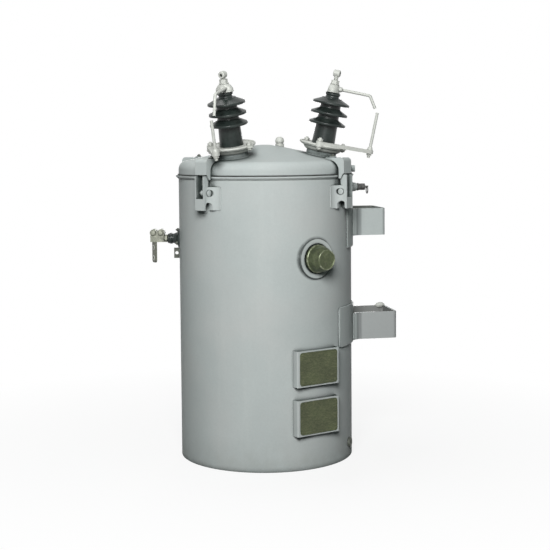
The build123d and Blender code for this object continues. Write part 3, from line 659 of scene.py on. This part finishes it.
def rounded(corners, steps=6):
    """Profile whose corners, given as (radius, height, rounding), are rounded."""
    profile = []
    for i, (x, y, rounding) in enumerate(corners):
        here = Vector((x, y))
        if not rounding or i in (0, len(corners) - 1):
            profile.append((x, y))
            continue
        before = Vector(corners[i - 1][:2]) - here
        after = Vector(corners[i + 1][:2]) - here
        turn = before.angle(after)
        reach = min(rounding / math.tan(turn / 2), before.length * 0.49, after.length * 0.49)
        start = here + before.normalized() * reach
        end = here + after.normalized() * reach
        for k in range(steps + 1):
            share = k / steps
            spot = start.lerp(here, share).lerp(here.lerp(end, share), share)
            profile.append((spot.x, spot.y))
    return profile


def arc_path(reach, start, end, height, steps=48):
    """Points round the tank between two angles at one height, in metres."""
    spots = []
    for i in range(steps + 1):
        spot = outward(start + (end - start) * i / steps) * reach
        spots.append(spot + Vector((0, 0, height)))
    return spots


class TransformerColours(PropertyGroup):
    """Base colours of the finishes."""

    paint: FloatVectorProperty(
        name="Paint", description="Tank, cover and brackets", subtype="COLOR", default=(0.500, 0.545, 0.535)
    )
    zinc: FloatVectorProperty(
        name="Zinc", description="Rings, caps and horns", subtype="COLOR", default=(0.560, 0.575, 0.535)
    )
    glaze: FloatVectorProperty(
        name="Glaze", description="Insulators", subtype="COLOR", default=(0.016, 0.022, 0.020)
    )
    bronze: FloatVectorProperty(
        name="Bronze", description="Low voltage terminals", subtype="COLOR", default=(0.31, 0.32, 0.26)
    )
    olive: FloatVectorProperty(
        name="Olive", description="Round cap", subtype="COLOR", default=(0.100, 0.122, 0.060)
    )
    plate: FloatVectorProperty(
        name="Plate", description="Blank plates", subtype="COLOR", default=(0.070, 0.084, 0.040)
    )
    brass: FloatVectorProperty(
        name="Brass", description="Relief valve", subtype="COLOR", default=(0.070, 0.070, 0.068)
    )
    steel: FloatVectorProperty(
        name="Steel", description="Ground tab and pad", subtype="COLOR", default=(0.085, 0.092, 0.076)
    )
    rubber: FloatVectorProperty(
        name="Rubber", description="Cover gasket", subtype="COLOR", default=(0.03, 0.032, 0.03)
    )


class TransformerSizes(PropertyGroup):
    """Sizes of the fasteners, welds and glaze, in millimetres."""

    nut_across: FloatProperty(name="Nut", description="Width of the ring nuts across flats", default=13.0)
    nut_height: FloatProperty(name="Nut height", description="Height of the ring nuts", default=6.0)
    stud_radius: FloatProperty(name="Stud", description="Radius of the ring studs", default=4.2)
    weld_radius: FloatProperty(name="Weld", description="Radius of the weld beads", default=2.4)
    rivet_radius: FloatProperty(name="Rivet", description="Radius of the plate rivets", default=2.4)
    turn_steps: IntProperty(name="Turning steps", description="Facets round a turned piece", default=96)


class TransformerStage(PropertyGroup):
    """Camera and light."""

    azimuth: FloatProperty(name="Azimuth", description="Camera's angle round the tank", default=-100.0)
    distance: FloatProperty(name="Distance", description="Camera to the tank's axis", default=3.38, unit="LENGTH")
    eye_height: FloatProperty(
        name="Eye height", description="Camera above the floor", default=0.864, unit="LENGTH"
    )
    lens_pixels: FloatProperty(name="Lens", description="Focal length in pixels of the picture", default=1240.0)
    picture: IntProperty(name="Picture", description="Width and height of the picture in pixels", default=550)
    roll: FloatProperty(name="Roll", description="Camera's roll in degrees", default=-0.45)
    key_power: FloatProperty(name="Key", description="Power of the front light", default=115.0)
    top_power: FloatProperty(name="Top", description="Power of the light overhead", default=18.0)
    back_power: FloatProperty(name="Back", description="Power of the light behind", default=46.0)
    room: FloatProperty(name="Room", description="Strength of the room's own light", default=0.02)


class PaintSolids(Operator):
    """Give every solid its finish"""

    bl_idname = "transformer.paint_solids"
    bl_label = "Finishes"

    def execute(self, context):
        slots = {part["node"]: part["material_slot"] for part in frame["record"]["subparts"]}
        for name in solids:
            dress_solid(name, "plate" if name.startswith("blank_plate") else slots[name])
        return {"FINISHED"}


class GlazeBushings(Operator):
    """Turn the high voltage insulators with a tapered trunk and rounded sheds"""

    bl_idname = "transformer.glaze_bushings"
    bl_label = "High voltage insulators"

    def trunk(self, height):
        """Radius of the trunk at a height."""
        return 30.2 - 3.6 * (height - RING_TOP) / (NECK - RING_TOP)

    def execute(self, context):
        sizes = context.scene.transformer_sizes
        corners = [(0.0, RING_TOP - 8.0, 0), (30.8, RING_TOP - 8.0, 0), (30.8, RING_TOP + 3.0, 2.0)]
        for shed in SHEDS:
            corners += [
                (self.trunk(shed + 3.6), shed + 3.6, 5.0),
                (44.0, shed - 3.2, 6.0),
                (49.4, shed - 4.0, 2.4),
                (49.4, shed + 2.2, 2.8),
                (self.trunk(shed + 12.8), shed + 12.8, 6.0),
            ]
        corners += [
            (26.5, NECK + 0.4, 4.0),
            (18.0, NECK + 1.0, 3.0),
            (17.6, NECK + 6.8, 1.2),
            (20.0, NECK + 8.0, 1.6),
            (20.0, CAP - 1.4, 1.8),
            (15.0, CAP, 0),
            (0.0, CAP, 0),
        ]
        for side in BUSHING_ANGLES:
            shape = Shape()
            shape.turned(bushing_basis(side), rounded(corners), sizes.turn_steps)
            piece = shape.finish(f"glazed_insulator_{side}", "porcelain", 60.0)
            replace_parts(piece, f"hv_insulator_{side}")
        return {"FINISHED"}


class RingFasteners(Operator):
    """Rolled rim and dish of the clamp rings, and the studs, washers and nuts of rings and horn rods"""

    bl_idname = "transformer.ring_fasteners"
    bl_label = "Ring and horn fasteners"

    def execute(self, context):
        sizes = context.scene.transformer_sizes
        for side in BUSHING_ANGLES:
            place = bushing_basis(side)
            shape = Shape()
            for index, angle in enumerate(RING_BOLTS[side]):
                seat = RING_TOP + (BAR_THICKNESS if index == 0 else 0.0)
                foot = place @ Matrix.Translation(polar(RING_BOLT_CIRCLE, angle))
                below = RING_TOP - RING_EDGE - sizes.nut_height
                shape.threaded(foot, sizes.stud_radius, below - 2.0, seat + sizes.nut_height + 4.5)
                shape.washer(moved(foot, z=seat), 9.0, sizes.stud_radius, 1.4)
                shape.nut(moved(foot, z=seat + 1.4), sizes.nut_across, sizes.nut_height, sizes.stud_radius, angle)
                shape.nut(moved(foot, z=below), sizes.nut_across, sizes.nut_height, 0.0, angle + 14.0)
            roll = [polar(3.3, 30.0 * step) for step in range(12)]
            shape.ring(place, [(60.0 + spot.x, RING_TOP - 0.6 + spot.y) for spot in roll], sizes.turn_steps)
            dish = [
                (39.6, 26.0, 0),
                (50.6, 26.0, 0),
                (51.6, 21.5, 2.0),
                (47.5, 15.5, 3.0),
                (41.4, 11.6, 1.0),
                (39.6, 11.8, 0),
            ]
            shape.ring(place, rounded(dish), sizes.turn_steps)
            rod = place @ Matrix.Translation(polar(*ROD_FOOT))
            sleeve = [(4.2, 0, 0), (7.6, 0, 0), (7.6, 3.0, 0.8), (5.2, 8.4, 1.2), (4.2, 8.8, 0)]
            shape.turned(moved(rod, z=RING_TOP + BAR_THICKNESS), rounded(sleeve), 32)
            shape.nut(moved(rod, z=RING_TOP - 6.0), 13.0, 6.0, 0.0, 15.0)
            shape.finish(f"ring_fasteners_{side}", "galvanised")
        return {"FINISHED"}


class TerminalTrim(Operator):
    """Threads on the terminals' stems, a bead round each cap and a sleeve at each horn's root"""

    bl_idname = "transformer.terminal_trim"
    bl_label = "Terminal trim"

    def execute(self, context):
        for side in BUSHING_ANGLES:
            place = bushing_basis(side)
            shape = Shape()
            shape.threaded(moved(place, z=STEM), 5.9, -0.4, STEM_LENGTHS[side] + 3.0)
            shape.washer(moved(place, z=STEM - 11.4), 13.2, 6.0, 1.6)
            lip = []
            for i in range(73):
                turn = math.radians(5.0 * i)
                lip.append(place @ Vector((15.4 * math.cos(turn), 24.9 * math.sin(turn), CAP + 1.4)))
            shape.tube(lip, 1.4 * MM, 8)
            root = faced(moved(faced(place, ROD_FOOT[1], "Z"), z=HORN), 90.0, "Y")
            sleeve = [(4.0, 11.0, 0), (7.0, 11.0, 0), (7.0, 19.0, 1.0), (5.4, 22.5, 1.0), (4.0, 23.0, 0)]
            shape.turned(root, rounded(sleeve), 28)
            shape.finish(f"terminal_trim_{side}", "galvanised")
        return {"FINISHED"}


class LowVoltage(Operator):
    """Smooth low voltage insulators, their bolted flanges, and the lobes, bolts and rims of the spades"""

    bl_idname = "transformer.low_voltage"
    bl_label = "Low voltage bushings"

    def execute(self, context):
        sizes = context.scene.transformer_sizes
        profile = rounded(
            [
                (0.0, -2.4, 0),
                (23.0, -2.4, 0),
                (23.0, 3.2, 1.6),
                (17.0, 8.0, 7.0),
                (13.2, 16.5, 4.0),
                (13.2, 19.5, 1.0),
                (15.0, 21.5, 1.4),
                (15.0, 26.0, 1.4),
                (13.6, 28.0, 0.8),
                (13.6, 31.5, 1.6),
                (11.0, 34.0, 1.0),
                (0.0, 34.0, 0),
            ]
        )
        head = rounded([(0.0, -0.6, 0), (7.4, -0.6, 0), (7.4, 2.2, 1.0), (5.6, 4.6, 2.0), (0.0, 5.4, 0)])
        lobe = rounded([(0, 0, 0), (10.0, 0, 1.6), (10.0, 29.6, 1.6), (0, 29.6, 0)])
        for name, angle in LV_ANGLES.items():
            wall = wall_basis(angle, LV_HEIGHT)
            shape = Shape()
            shape.turned(wall, profile, sizes.turn_steps)
            piece = shape.finish(f"glazed_bushing_{name}", "porcelain", 60.0)
            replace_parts(piece, f"lv_insulator_{name}")
            shape = Shape()
            shape.nut(moved(wall, z=34.4), 18.0, 6.6, 6.2, 10.0)
            shape.washer(moved(wall, z=41.0), 10.5, 6.2, 1.8)
            for reach in LUG_REACHES:
                lug = moved(section_basis(angle), reach, 0.0, LUG_HEIGHT)
                shape.turned(faced(moved(lug, y=-14.8), -90.0, "X"), lobe, 40)
                shape.turned(faced(moved(lug, y=15.0), -90.0, "X"), head, 36)
                shape.washer(faced(moved(lug, y=-15.0), 90.0, "X"), 8.0, 4.0, 1.2)
                shape.nut(faced(moved(lug, y=-16.0), 90.0, "X"), 12.0, 5.0, 4.0, 8.0)
            shape.finish(f"spade_bolts_{name}", "bronze")
            shape = Shape()
            for height in SPADE_HOLES:
                hole = outward(angle) * SPADE_REACH * MM + Vector((0, 0, height * MM))
                place = basis(hole, Vector((0, 0, 1)), outward(angle + SPADE_TURN))
                for turn in (0.0, 180.0):
                    face = moved(faced(place, turn, "X"), z=2.7)
                    shape.ring(face, [(4.6, 0.0), (7.6, 0.0), (7.0, 0.9), (4.6, 1.1)], 36)
            shape.finish(f"spade_rims_{name}", "galvanised")
            shape = Shape()
            shape.ring(wall, [(18.0, -2.6), (27.5, -2.6), (27.5, 2.4), (26.4, 3.6), (18.0, 5.2)], sizes.turn_steps)
            shape.finish(f"bushing_flange_{name}", "porcelain", 60.0)
            shape = Shape()
            for turn in (90.0, 210.0, 330.0):
                bolt = wall @ Matrix.Translation(polar(23.4, turn))
                shape.nut(moved(bolt, z=3.6), 9.0, 4.6, 2.6, turn)
                shape.threaded(bolt, 2.6, 0.0, 11.5, 1.2)
            shape.finish(f"flange_bolts_{name}", "dark_steel")
        return {"FINISHED"}


class ClampHardware(Operator):
    """Pin heads, threads and studs of the cover clamps, and the bolt on the cover's skirt"""

    bl_idname = "transformer.clamp_hardware"
    bl_label = "Clamp hardware"

    def execute(self, context):
        dome = rounded([(0.0, -0.4, 0), (8.4, -0.4, 0), (8.4, 0.8, 0.6), (6.0, 2.0, 1.8), (0.0, 2.4, 0)])
        heads, threads, studs = Shape(), Shape(), Shape()
        for angle in CLAMP_ANGLES.values():
            middle = section_basis(angle)
            pin = moved(middle, PIN_REACH, 0.0, PIN_HEIGHT)
            for side in (1, -1):
                heads.turned(faced(moved(pin, y=18.5 * side), -90.0 * side, "X"), dome, 32)
            shank = moved(middle, PIN_REACH)
            threads.threaded(shank, 4.15, 741.0, 777.5)
            threads.threaded(shank, 4.15, 789.0, 799.0)
            threads.washer(moved(shank, z=776.4), 9.0, 4.4, 1.4)
            tail = moved(middle, TAIL_REACH, 0.0, TAIL_HEIGHT)
            heads.washer(tail, 9.5, 3.0, 3.2)
            studs.nut(moved(tail, z=3.2), 9.0, 3.6, 3.2, 10.0)
            studs.threaded(tail, 3.2, 0.0, 9.0, 1.2)
        bolt = wall_basis(-12.0, TANK_HEIGHT + 14.0 * MM)
        heads.washer(moved(bolt, z=-0.4), 11.0, 4.0, 2.0)
        heads.nut(moved(bolt, z=1.6), 16.0, 10.0, 0.0, 12.0)
        heads.finish("clamp_heads", "tank_paint")
        threads.finish("clamp_threads", "galvanised")
        studs.finish("clamp_studs", "dark_steel")
        return {"FINISHED"}


class Welds(Operator):
    """Painted weld beads of the brackets, rings, bosses and tank, and a lump on the lower hanger"""

    bl_idname = "transformer.welds"
    bl_label = "Welds"

    def upright(self, angle, reach, low, high):
        """Both ends of an upright line at an angle round the tank."""
        return [outward(angle) * reach + Vector((0, 0, low)), outward(angle) * reach + Vector((0, 0, high))]

    def on_wall(self, place, x, y):
        """Spot on the tank wall at a distance from a place on it, in millimetres."""
        radius = TANK_RADIUS / MM
        return place @ Vector((x, y, math.sqrt(radius**2 - x**2) - radius))

    def execute(self, context):
        bead = context.scene.transformer_sizes.weld_radius * MM
        shape = Shape()
        for name, half in PAD_ANGLES.items():
            low, high = (corner.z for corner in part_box(f"hanger_pad_{name}"))
            reach = TANK_RADIUS + 1.2 * MM
            for height in (low, high):
                shape.bead(arc_path(reach, -half, half, height), bead)
            foot_low, foot_high = (corner.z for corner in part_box(f"hanger_{name}"))
            for side in (1, -1):
                if name == "lower":
                    shape.bead(self.upright(side * half, reach, low, high), bead)
                line = self.upright(side * HANGER_FOOT, TANK_RADIUS + 6.2 * MM, foot_low, foot_high)
                shape.bead(line, bead * 1.2)
        shape.finish("hanger_welds", "tank_paint")
        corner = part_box("hanger_lower")[1]
        start = Vector((corner.x - 29.0 * MM, 60.0 * MM, corner.z + 0.5 * MM))
        swell = (0.2, 0.62, 0.84, 0.95, 1.0, 0.98, 0.88, 0.64, 0.2)
        lump = [start + Vector((3.5 * MM * step, 0, 0.2 * MM * step)) for step in range(len(swell))]
        shape = Shape()
        shape.tube(lump, 8.0 * MM, 16, swell)
        shape.finish("hanger_lump", "galvanised")
        shape = Shape()
        for name, angle in CLAMP_ANGLES.items():
            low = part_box(f"tank_keeper_{name}")[0].z
            for side in (1, -1):
                edge = angle + side * KEEPER_EDGE
                shape.bead(self.upright(edge, TANK_RADIUS, low, TANK_HEIGHT - 27.0 * MM), bead * 0.8)
        shape.finish("clamp_welds", "tank_paint")
        shape = Shape()
        cap = wall_basis(CAP_ANGLE, CAP_HEIGHT)
        shape.bead([self.on_wall(cap, *polar(52.4, 6.0 * i).xy) for i in range(61)], bead * 0.8)
        for height in PLATE_HEIGHTS.values():
            plate = wall_basis(PLATE_ANGLE, height)
            for x in (-67.4, 67.4):
                shape.bead([self.on_wall(plate, x, -46.0), self.on_wall(plate, x, 46.0)], bead * 0.7)
        for side in BUSHING_ANGLES:
            place = bushing_basis(side)
            shape.bead([on_cover(place @ polar(40.6, 6.0 * i)) for i in range(61)], bead)
        shape.finish("fitting_welds", "tank_paint")
        shape = Shape()
        shape.bead(self.upright(78.0, TANK_RADIUS - 0.8 * MM, 6.0 * MM, TANK_HEIGHT - 9.0 * MM), bead)
        shape.bead(arc_path(TANK_RADIUS - 3.4 * MM, 0.0, 360.0, 14.0 * MM, 180), bead)
        shape.bead(arc_path(TANK_RADIUS + 0.4 * MM, 0.0, 360.0, TANK_HEIGHT - 7.2 * MM, 180), bead * 0.8)
        shape.finish("tank_welds", "tank_paint")
        return {"FINISHED"}


class PlateTrim(Operator):
    """Raised rim and rivets of the two blank plates"""

    bl_idname = "transformer.plate_trim"
    bl_label = "Plate trim"

    def execute(self, context):
        rivet = context.scene.transformer_sizes.rivet_radius
        dome = rounded(
            [(0.0, -0.3, 0), (rivet, -0.3, 0), (rivet, 0.4, 0.3), (rivet * 0.6, 1.3, 0.6), (0.0, 1.5, 0)]
        )
        for name, height in PLATE_HEIGHTS.items():
            place = wall_basis(PLATE_ANGLE, height, PLATE_FACE)
            shape = Shape()
            rim = []
            for x, y, start in ((51.4, 35.4, 0), (-51.4, 35.4, 90), (-51.4, -35.4, 180), (51.4, -35.4, 270)):
                for step in range(9):
                    spot = polar(6.6, start + 11.25 * step)
                    rim.append(place @ Vector((x + spot.x, y + spot.y, 0.0)))
            rim.append(rim[0])
            shape.tube(rim, 0.9 * MM, 8)
            for x in (-52.0, 52.0):
                for y in (-36.0, 36.0):
                    shape.turned(moved(place, x, y), dome, 24)
            shape.finish(f"plate_trim_{name}", "plate")
        return {"FINISHED"}


class CapTrim(Operator):
    """Round cap with its rims, the plug's dome, the valve's boss and nut, and the ground pad's thread"""

    bl_idname = "transformer.cap_trim"
    bl_label = "Cap, valve and pad trim"

    def execute(self, context):
        steps = context.scene.transformer_sizes.turn_steps
        cap = wall_basis(CAP_ANGLE, CAP_HEIGHT)
        shape = Shape()
        # Rims of the round cap in a lighter finish: painted highlight.
        shape.ring(cap, [(34.6, 5.0), (36.0, 5.4), (36.6, 6.4), (36.6, 10.0), (36.0, 11.0), (34.6, 11.8)], steps)
        shape.ring(cap, [(23.0, 46.4), (23.6, 47.2), (25.0, 47.2), (26.4, 46.2), (26.0, 45.2)], steps)
        shape.finish("round_cap_trim", "cap_rim_highlight")
        body = [
            (0, 2.0, 0),
            (35.6, 2.0, 0),
            (35.6, 11.0, 1.5),
            (34.0, 11.8, 1.0),
            (33.4, 17.0, 3.0),
            (32.0, 30.0, 9.0),
            (28.4, 40.0, 6.0),
            (26.4, 46.6, 2.5),
            (23.4, 47.0, 1.0),
            (22.4, 46.0, 1.0),
            (0, 45.6, 0),
        ]
        shape = Shape()
        shape.turned(cap, rounded(body), steps)
        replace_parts(shape.finish("round_cap_body", "olive_metal", 50.0), "round_cap")
        low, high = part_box("cover_plug")
        top = Vector(((low.x + high.x) / 2, (low.y + high.y) / 2, high.z))
        plug = basis(top, Vector((1, 0, 0)), Vector((0, 0, 1)))
        dome = [
            (0, -15.6, 0),
            (11.4, -15.6, 1.0),
            (12.2, -10.0, 2.5),
            (10.4, -3.4, 5.0),
            (5.6, 0.4, 4.0),
            (0, 1.0, 0),
        ]
        shape = Shape()
        shape.turned(plug, rounded(dome), 48)
        shape.finish("cover_plug_dome", "galvanised")
        valve = wall_basis(0.0, VALVE_HEIGHT)
        boss = [
            (0, -1.0, 0),
            (15.0, -1.0, 0),
            (14.0, 6.0, 2.0),
            (12.4, 14.0, 3.0),
            (11.4, 20.0, 2.0),
            (9.2, 24.0, 1.5),
            (0, 24.0, 0),
        ]
        shape = Shape()
        shape.turned(valve, rounded(boss), 48)
        shape.finish("relief_valve_boss", "tank_paint")
        shape = Shape()
        shape.nut(moved(valve, z=24.0), 18.6, 5.0, 8.0, 10.0)
        shape.ring(valve, [(7.8, 35.6), (9.2, 36.4), (9.2, 43.0), (7.8, 44.0)], 40)
        shape.finish("relief_valve_trim", "valve_brass")
        pad = wall_basis(-29.0, 40.0 * MM)
        shape = Shape()
        for turn in range(4):
            start = 0.8 + 1.25 * turn
            shape.ring(pad, [(6.6, start), (5.9, start + 0.5), (6.6, start + 1.0)], 36)
        shape.ring(pad, [(11.6, 5.6), (13.3, 5.2), (13.3, 3.6), (12.6, 3.4)], 48)
        shape.finish("ground_pad_thread", "dark_steel")
        return {"FINISHED"}


class Stage(Operator):
    """Pale floor, soft light and the camera"""

    bl_idname = "transformer.stage"
    bl_label = "Stage"

    def execute(self, context):
        stage = context.scene.transformer_stage
        scene = context.scene
        scene.view_settings.view_transform = "Standard"
        self.world(scene, stage)
        self.floor()
        self.camera(scene, stage)
        centre = Vector((0, 0, 0.5))
        self.light("key_light", stage.azimuth - 4.0, 26.0, 3.4, 1.2, stage.key_power, centre)
        self.light("top_light", stage.azimuth - 130.0, 76.0, 2.6, 1.3, stage.top_power, centre)
        self.light("back_light", stage.azimuth + 180.0, 4.0, 3.4, 1.0, stage.back_power, centre)
        return {"FINISHED"}

    def world(self, scene, stage):
        """White where the camera or a mirror-like surface sees it, and dim as a light."""
        scene.world = bpy.data.worlds.new("room")
        scene.world.use_nodes = True
        nodes = Nodes(scene.world.node_tree)
        room = nodes.node("ShaderNodeBackground", None, {"Color": (0.38, 1.0, 0.86, 1), "Strength": stage.room})
        white = nodes.node("ShaderNodeBackground", None, {"Color": (1, 1, 1, 1), "Strength": 1.0})
        mixed = nodes.node("ShaderNodeMixShader", None, {0: nodes.seen(), 1: room, 2: white})
        nodes.node("ShaderNodeOutputWorld", None, {"Surface": mixed}, output=None)

    def floor(self):
        """Wide pale floor that keeps a soft shadow and turns white away from the object."""
        shape = bmesh.new()
        reach = 14.0
        corners = [(-reach, -reach, 0), (reach, -reach, 0), (reach, reach, 0), (-reach, reach, 0)]
        shape.faces.new([shape.verts.new(corner) for corner in corners])
        data = bpy.data.meshes.new("floor")
        shape.to_mesh(data)
        shape.free()
        floor = bpy.data.objects.new("floor", data)
        bpy.context.scene.collection.objects.link(floor)
        finish = Finish("pale_floor")
        pale = finish.mix(finish.seen(), (0.10, 0.10, 0.10, 1), (0.90, 0.90, 0.90, 1))
        finish.surface(Base_Color=pale, Roughness=0.9, Specular_IOR_Level=0.0)
        away = finish.length(finish.place())
        share = finish.seen() * (0.84 + away.clamp(0.35, 1.3) * 0.16)
        glow = finish.node("ShaderNodeEmission", None, {"Color": (1, 1, 1, 1), "Strength": 1.0})
        lit = Value(finish, finish.shader.outputs[0])
        mixed = finish.node("ShaderNodeMixShader", None, {0: share, 1: lit, 2: glow})
        finish.feed(finish.output.inputs["Surface"], mixed)
        data.materials.append(finish.material)

    def light(self, name, azimuth, elevation, distance, size, power, centre):
        """Square soft light that faces the object."""
        lamp = bpy.data.lights.new(name, "AREA")
        lamp.energy = power
        lamp.size = size
        holder = bpy.data.objects.new(name, lamp)
        rise = math.radians(elevation)
        spot = centre + (outward(azimuth) * math.cos(rise) + Vector((0, 0, math.sin(rise)))) * distance
        holder.location = spot
        holder.rotation_euler = (centre - spot).to_track_quat("-Z", "Y").to_euler()
        bpy.context.scene.collection.objects.link(holder)

    def camera(self, scene, stage):
        """Camera that sees the tank as the picture does, from a little above the cover's edge."""
        lens = bpy.data.cameras.new("camera")
        lens.sensor_width = 36.0
        lens.lens = lens.sensor_width * stage.lens_pixels / stage.picture
        tilt = math.radians(3.8)
        horizon = 137.0
        centre = stage.picture / 2
        axis_at = 265.1
        lens.shift_y = (stage.lens_pixels * math.tan(tilt) - (centre - horizon)) / stage.picture
        holder = bpy.data.objects.new("camera", lens)
        towards = -outward(stage.azimuth)
        right = towards.cross(Vector((0, 0, 1)))
        yaw = (centre - axis_at) / stage.lens_pixels
        forward = (towards + right * yaw).normalized() * math.cos(tilt) - Vector((0, 0, math.sin(tilt)))
        holder.location = outward(stage.azimuth) * stage.distance + Vector((0, 0, stage.eye_height))
        roll = Quaternion((0, 0, 1), math.radians(stage.roll))
        holder.rotation_euler = (forward.to_track_quat("-Z", "Y") @ roll).to_euler()
        scene.collection.objects.link(holder)
        scene.camera = holder


class TransformerPanel(Panel):
    """Sidebar panel with a button for each step"""

    bl_idname = "VIEW3D_PT_transformer"
    bl_label = "Transformer"
    bl_space_type = "VIEW_3D"
    bl_region_type = "UI"
    bl_category = "Transformer"

    def draw(self, context):
        for step in STEPS:
            self.layout.operator(step.bl_idname)


STEPS = (
    PaintSolids,
    GlazeBushings,
    RingFasteners,
    TerminalTrim,
    LowVoltage,
    ClampHardware,
    Welds,
    PlateTrim,
    CapTrim,
    Stage,
)
GROUPS = {
    "transformer_colours": TransformerColours,
    "transformer_sizes": TransformerSizes,
    "transformer_stage": TransformerStage,
}
CLASSES = (*GROUPS.values(), *STEPS, TransformerPanel)


def register():
    """Add the classes and the scene's settings."""
    for kind in CLASSES:
        bpy.utils.register_class(kind)
    for name, group in GROUPS.items():
        setattr(bpy.types.Scene, name, PointerProperty(type=group))


def unregister():
    """Take the scene's settings and the classes away."""
    for name in GROUPS:
        delattr(bpy.types.Scene, name)
    for kind in reversed(CLASSES):
        bpy.utils.unregister_class(kind)


def main():
    """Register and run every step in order."""
    register()
    for step in STEPS:
        group, name = step.bl_idname.split(".")
        getattr(getattr(bpy.ops, group), name)()


if __name__ == "__main__":
    main()
